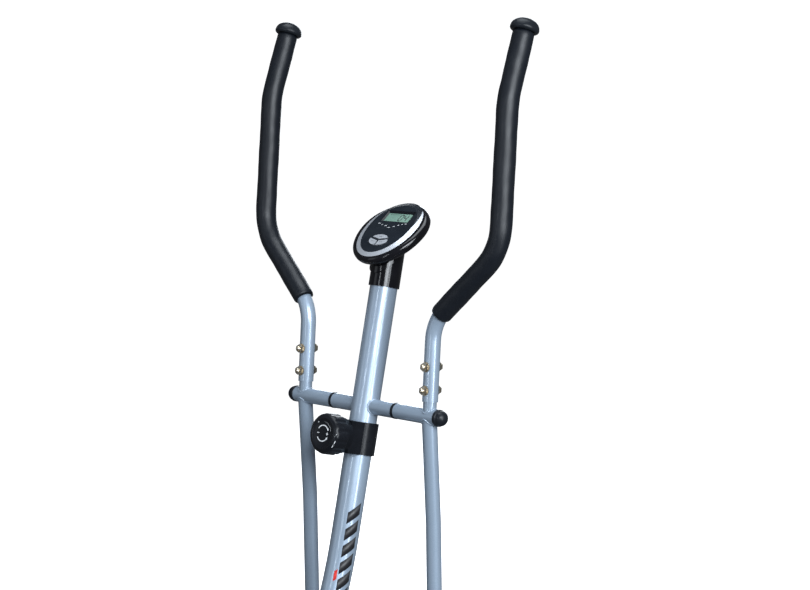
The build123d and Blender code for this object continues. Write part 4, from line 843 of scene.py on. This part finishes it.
def make_pointer():
    """White pointers and a thin arc beside each, printed on the knob's shoulder."""
    vertices, faces = [], []
    for side in (0, 180):
        shapes = [[(side + 5, 45), (side - 3, 62), (side - 3, 28)]]
        shapes.append([(side - 16 - 4 * k, 40) for k in range(7)]
                      + [(side - 40 + 4 * k, 45) for k in range(7)])
        for outline in shapes:
            count, base = len(outline), len(vertices)
            vertices += [on_shoulder(*point, 0.14 * MM) for point in outline]
            vertices += [on_shoulder(*point, 0.02 * MM) for point in outline]
            faces.append(tuple(range(base, base + count)))
            faces.append(tuple(range(base + 2 * count - 1, base + count - 1, -1)))
            for k in range(count):
                after = (k + 1) % count
                faces.append((base + k, base + after, base + count + after, base + count + k))
    piece = mesh_piece("knob_pointer", vertices, faces, WHITE_INK, smooth=False)
    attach(piece, "tension_knob")


# ---------------------------------------------------------------- console details
FACE_PLACE = place(FACE_ORIGIN, FACE_OUT)
SEGMENTS = {"0": "abcdef", "4": "fgbc"}


def digit_outlines(digit, x, y, width, height, stroke):
    """Seven-segment digit with its lower left corner at x, y, leaning a little."""
    half = height / 2
    places = {"a": ((0, height), (width, height)), "b": ((width, height), (width, half)),
              "c": ((width, half), (width, 0)), "d": ((0, 0), (width, 0)),
              "e": ((0, half), (0, 0)), "f": ((0, height), (0, half)),
              "g": ((0, half), (width, half))}
    outlines = []
    for segment in SEGMENTS[digit]:
        (x0, y0), (x1, y1) = places[segment]
        start, end = Vector((x0, y0)), Vector((x1, y1))
        way = (end - start).normalized()
        side = Vector((-way.y, way.x)) * stroke / 2
        start, end = start + way * stroke * 0.65, end - way * stroke * 0.65
        tip = way * stroke / 2
        corners = (start - tip, start - side, end - side, end + tip, end + side, start + side)
        outlines.append([(x + c.x + 0.12 * c.y, y + c.y) for c in corners])
    return outlines


def make_display():
    """Digits on the display, dashes under it and on the keys."""
    shapes = []
    for index, digit in enumerate("04"):
        shapes += digit_outlines(digit, (3 + 11.5 * index) * MM, 19 * MM, 7.5 * MM, 14.5 * MM,
                                 1.7 * MM)
    for index in range(4):
        shapes.append(rectangle((-23 + 6 * index) * MM, 34 * MM, 4 * MM, 0.7 * MM))
    print_piece("display_digits", shapes, 0.16 * MM - LCD_DEPTH, FACE_PLACE, BLACK_INK, "root",
                0.1 * MM)

    places = [(-32, 7.1, 5.5), (-22.5, 4.3, 4), (-12, 2, 5), (-1, -2, 5), (8.9, 1.6, 4.5),
              (17.5, 5.4, 5), (25, 8.6, 3.5), (32.5, 9.9, 4.5)]
    marks = []
    for x, y, width in places:
        marks.append(rectangle(x * MM, y * MM, width * MM, 0.7 * MM))
        marks.append(rectangle((x + 0.6) * MM, (y + 1.3) * MM, 0.6 * width * MM, 0.5 * MM))
    print_piece("face_marks", marks, 0.1 * MM, FACE_PLACE, WHITE_INK, "root")

    for name, x, y in (("key_top", 0, -27), ("key_left", -10.5, -40), ("key_right", 10.5, -40)):
        dashes = [rectangle((x + dx) * MM, y * MM, 1.8 * MM, 0.8 * MM) for dx in (-2.6, 0, 2.6)]
        print_piece(name + "_print", dashes, 1.5 * MM, FACE_PLACE, BLACK_INK, name)


# ---------------------------------------------------------------- mast stripes
def make_mast_stripes():
    """Plain slanted bars down the mast's right rear side, black with one short red bar."""
    slant, wide = 0.02, 27
    bars = [(-0.182 - 0.03 * k, 0.021, wide, -20, BLACK_INK) for k in range(6)]
    bars.append((-0.296, 0.018, 6, -58, RED_INK))
    skin = mast_skin()
    for index, (top, height, spread, middle, ink) in enumerate(bars):
        slope = slant * spread / wide
        vertices, faces = mast_patch(skin, top, height, spread, math.radians(middle), slope)
        piece = mesh_piece(f"mast_stripe_{index + 1}", vertices, faces, ink)
        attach(piece, "root")


def mast_skin():
    """Search tree over the mast's own surface, in scene coordinates."""
    mast = bpy.data.objects["mast"]
    corners = [mast.matrix_world @ vertex.co for vertex in mast.data.vertices]
    return BVHTree.FromPolygons(corners, [list(face.vertices) for face in mast.data.polygons])


def mast_surface(skin, along, angle, lift):
    """Point just off the mast: along it from the cross tube, round it from the right side."""
    centre = ARM_PIVOT + MAST_WAY * along
    way = Vector((1, 0, 0)) * math.cos(angle) - MAST_FRONT * math.sin(angle)
    hit = skin.ray_cast(centre + way * 3 * MAST_R, -way)[0]
    return hit + way * lift


def mast_patch(skin, top, height, spread, middle, slant):
    """Thin curved bar lying on the mast, its ends at different heights by the slant."""
    steps = 16
    vertices, faces = [], []
    half = math.radians(spread)
    for lift in (0.16 * MM, 0.04 * MM):
        for k in range(steps + 1):
            share = k / steps
            angle = middle - half + 2 * half * share
            shift = slant * (share - 0.5)
            vertices.append(mast_surface(skin, top + shift, angle, lift))
            vertices.append(mast_surface(skin, top + shift - height, angle, lift))
    lower = 2 * (steps + 1)
    for k in range(steps):
        a, b, c, d = 2 * k, 2 * k + 1, 2 * k + 3, 2 * k + 2
        faces.append((a, b, c, d))
        faces.append((lower + d, lower + c, lower + b, lower + a))
        faces.append((a, d, lower + d, lower + a))
        faces.append((b, lower + b, lower + c, c))
    for a, b in ((0, 1), (2 * steps, 2 * steps + 1)):
        faces.append((a, b, lower + b, lower + a))
    return vertices, faces


# ---------------------------------------------------------------- foot plates
def make_treads():
    """Low diamond studs between the ribs of each foot plate."""
    crank_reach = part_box("crank_arm_right")[1].z - CRANK_END_R - CRANK_CENTRE.z
    for side, label in ((1, "right"), (-1, "left")):
        pivot = Vector((side * FOOT_PIVOT.x, FOOT_PIVOT.y, FOOT_PIVOT.z))
        pin = Vector((side * ARM_X, CRANK_CENTRE.y, CRANK_CENTRE.z + side * crank_reach))
        along = (pivot - pin).normalized()
        up = Vector((1, 0, 0)).cross(along)
        points = []
        for row in range(STUD_ROWS):
            for column in range(STUD_COLUMNS):
                y = (TREAD_START + row * 20) * MM
                x = side * (-6 + column * 7.5) * MM
                points.append(pin + Vector((1, 0, 0)) * x + along * y + up * TREAD_UP)
        turn = place((0, 0, 0), up).to_euler()
        studs = scatter("tread_studs_" + label, STUD, points,
                        (2.6 * MM, 2.6 * MM, 1.6 * MM), turn, TREAD_BLACK)
        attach(studs, label + "_pedal")


# ---------------------------------------------------------------- casing vents
def make_casing_vents():
    """Raised louvre ribs, tilted alike, in a row on both sides of the drive casing."""
    fly = joint_at("flywheel_spin")
    for side, label in ((1, "right"), (-1, "left")):
        low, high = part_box("casing_" + label)
        x = high.x if side > 0 else low.x
        points = []
        for row in range(7):
            points.append(Vector((x, fly.y + (-30 + 10 * row) * MM, fly.z + 6 * MM)))
        ribs = scatter("casing_ribs_" + label, BAR, points, (2.4 * MM, 4 * MM, 70 * MM),
                       Vector((math.radians(-18), 0, 0)), CASING_BLACK)
        ribs = round_edges(ribs, 1.0 * MM)
        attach(ribs, "root")


# ---------------------------------------------------------------- stage
def make_stage():
    """Pale round floor with a wall far behind the object."""
    steps, radius, wall = 96, 14.0, 8.0
    bend = 1.6
    profile = [(0.0, 0.0), (radius - bend, 0.0)]
    for k in range(1, 9):
        angle = math.radians(90 * k / 8)
        profile.append((radius - bend + bend * math.sin(angle), bend - bend * math.cos(angle)))
    profile.append((radius, wall))
    floor = lathe("studio_floor", profile, Matrix.Identity(4), make_floor_material(), steps)
    floor.visible_glossy = False
    floor.visible_diffuse = False


def soft_light(name, at, aim, size, power):
    data = bpy.data.lights.new(name, "AREA")
    data.shape = "RECTANGLE"
    data.size, data.size_y = size
    data.energy = power
    data.color = LAMP_COLOUR
    lamp = bpy.data.objects.new(name, data)
    lamp.location = at
    lamp.rotation_euler = (Vector(aim) - Vector(at)).to_track_quat("-Z", "Y").to_euler()
    bpy.context.collection.objects.link(lamp)


def around(turn, distance, height):
    """Point about the cross tube, the turn in degrees from the right towards the front."""
    angle = math.radians(turn)
    return (distance * math.cos(angle), ARM_PIVOT.y + distance * math.sin(angle), height)


def make_lights():
    aim = (0, ARM_PIVOT.y, 1.0)
    soft_light("strip_left", around(-84, 3.2, 1.6), aim, (0.14, 1.8), 12)
    soft_light("strip_middle", around(-30, 3.4, 1.9), aim, (0.16, 1.8), 11)
    soft_light("strip_right", around(-8, 2.6, 1.5), aim, (0.5, 2.2), 46)
    soft_light("fill", around(-30, 4.4, 2.6), aim, (2.4, 2.0), 215)
    soft_light("top", (0.0, 0.3, 4.2), aim, (2.4, 2.4), 90)
    soft_light("left_fill", around(-120, 3.6, 1.6), aim, (1.2, 2.0), 6)
    soft_light("back", around(128, 4.2, 2.2), aim, (2.2, 2.0), 75)
    world = bpy.data.worlds.new("studio")
    world.use_nodes = True
    world.node_tree.nodes["Background"].inputs["Color"].default_value = (0.9, 0.94, 1.0, 1)
    world.node_tree.nodes["Background"].inputs["Strength"].default_value = 0.12
    bpy.context.scene.world = world


def make_camera():
    data = bpy.data.cameras.new("camera")
    data.sensor_width = 36
    data.lens = CAMERA_LENS
    data.clip_end = 50
    camera = bpy.data.objects.new("camera", data)
    camera.location = ARM_PIVOT + CAMERA_FROM_PIVOT
    camera.rotation_euler = (math.radians(90 - CAMERA_DOWN), 0, math.radians(CAMERA_TURN))
    bpy.context.collection.objects.link(camera)
    scene = bpy.context.scene
    scene.camera = camera
    scene.view_settings.view_transform = "Standard"
    scene.view_settings.look = "None"


# ---------------------------------------------------------------- build
finish_nodes()
for hand, hand_side in (("right", 1), ("left", -1)):
    grip_end = make_grip("grip_" + hand, hand_side, hand + "_arm")
    make_grip_cap("grip_cap_" + hand, grip_end, hand + "_arm")
    make_sleeve_cap("sleeve_cap_" + hand, hand_side, hand + "_arm")
make_welds()
make_knob()
make_knob_print()
make_pointer()
make_display()
make_mast_stripes()
make_treads()
make_casing_vents()
make_stage()
make_lights()
make_camera()
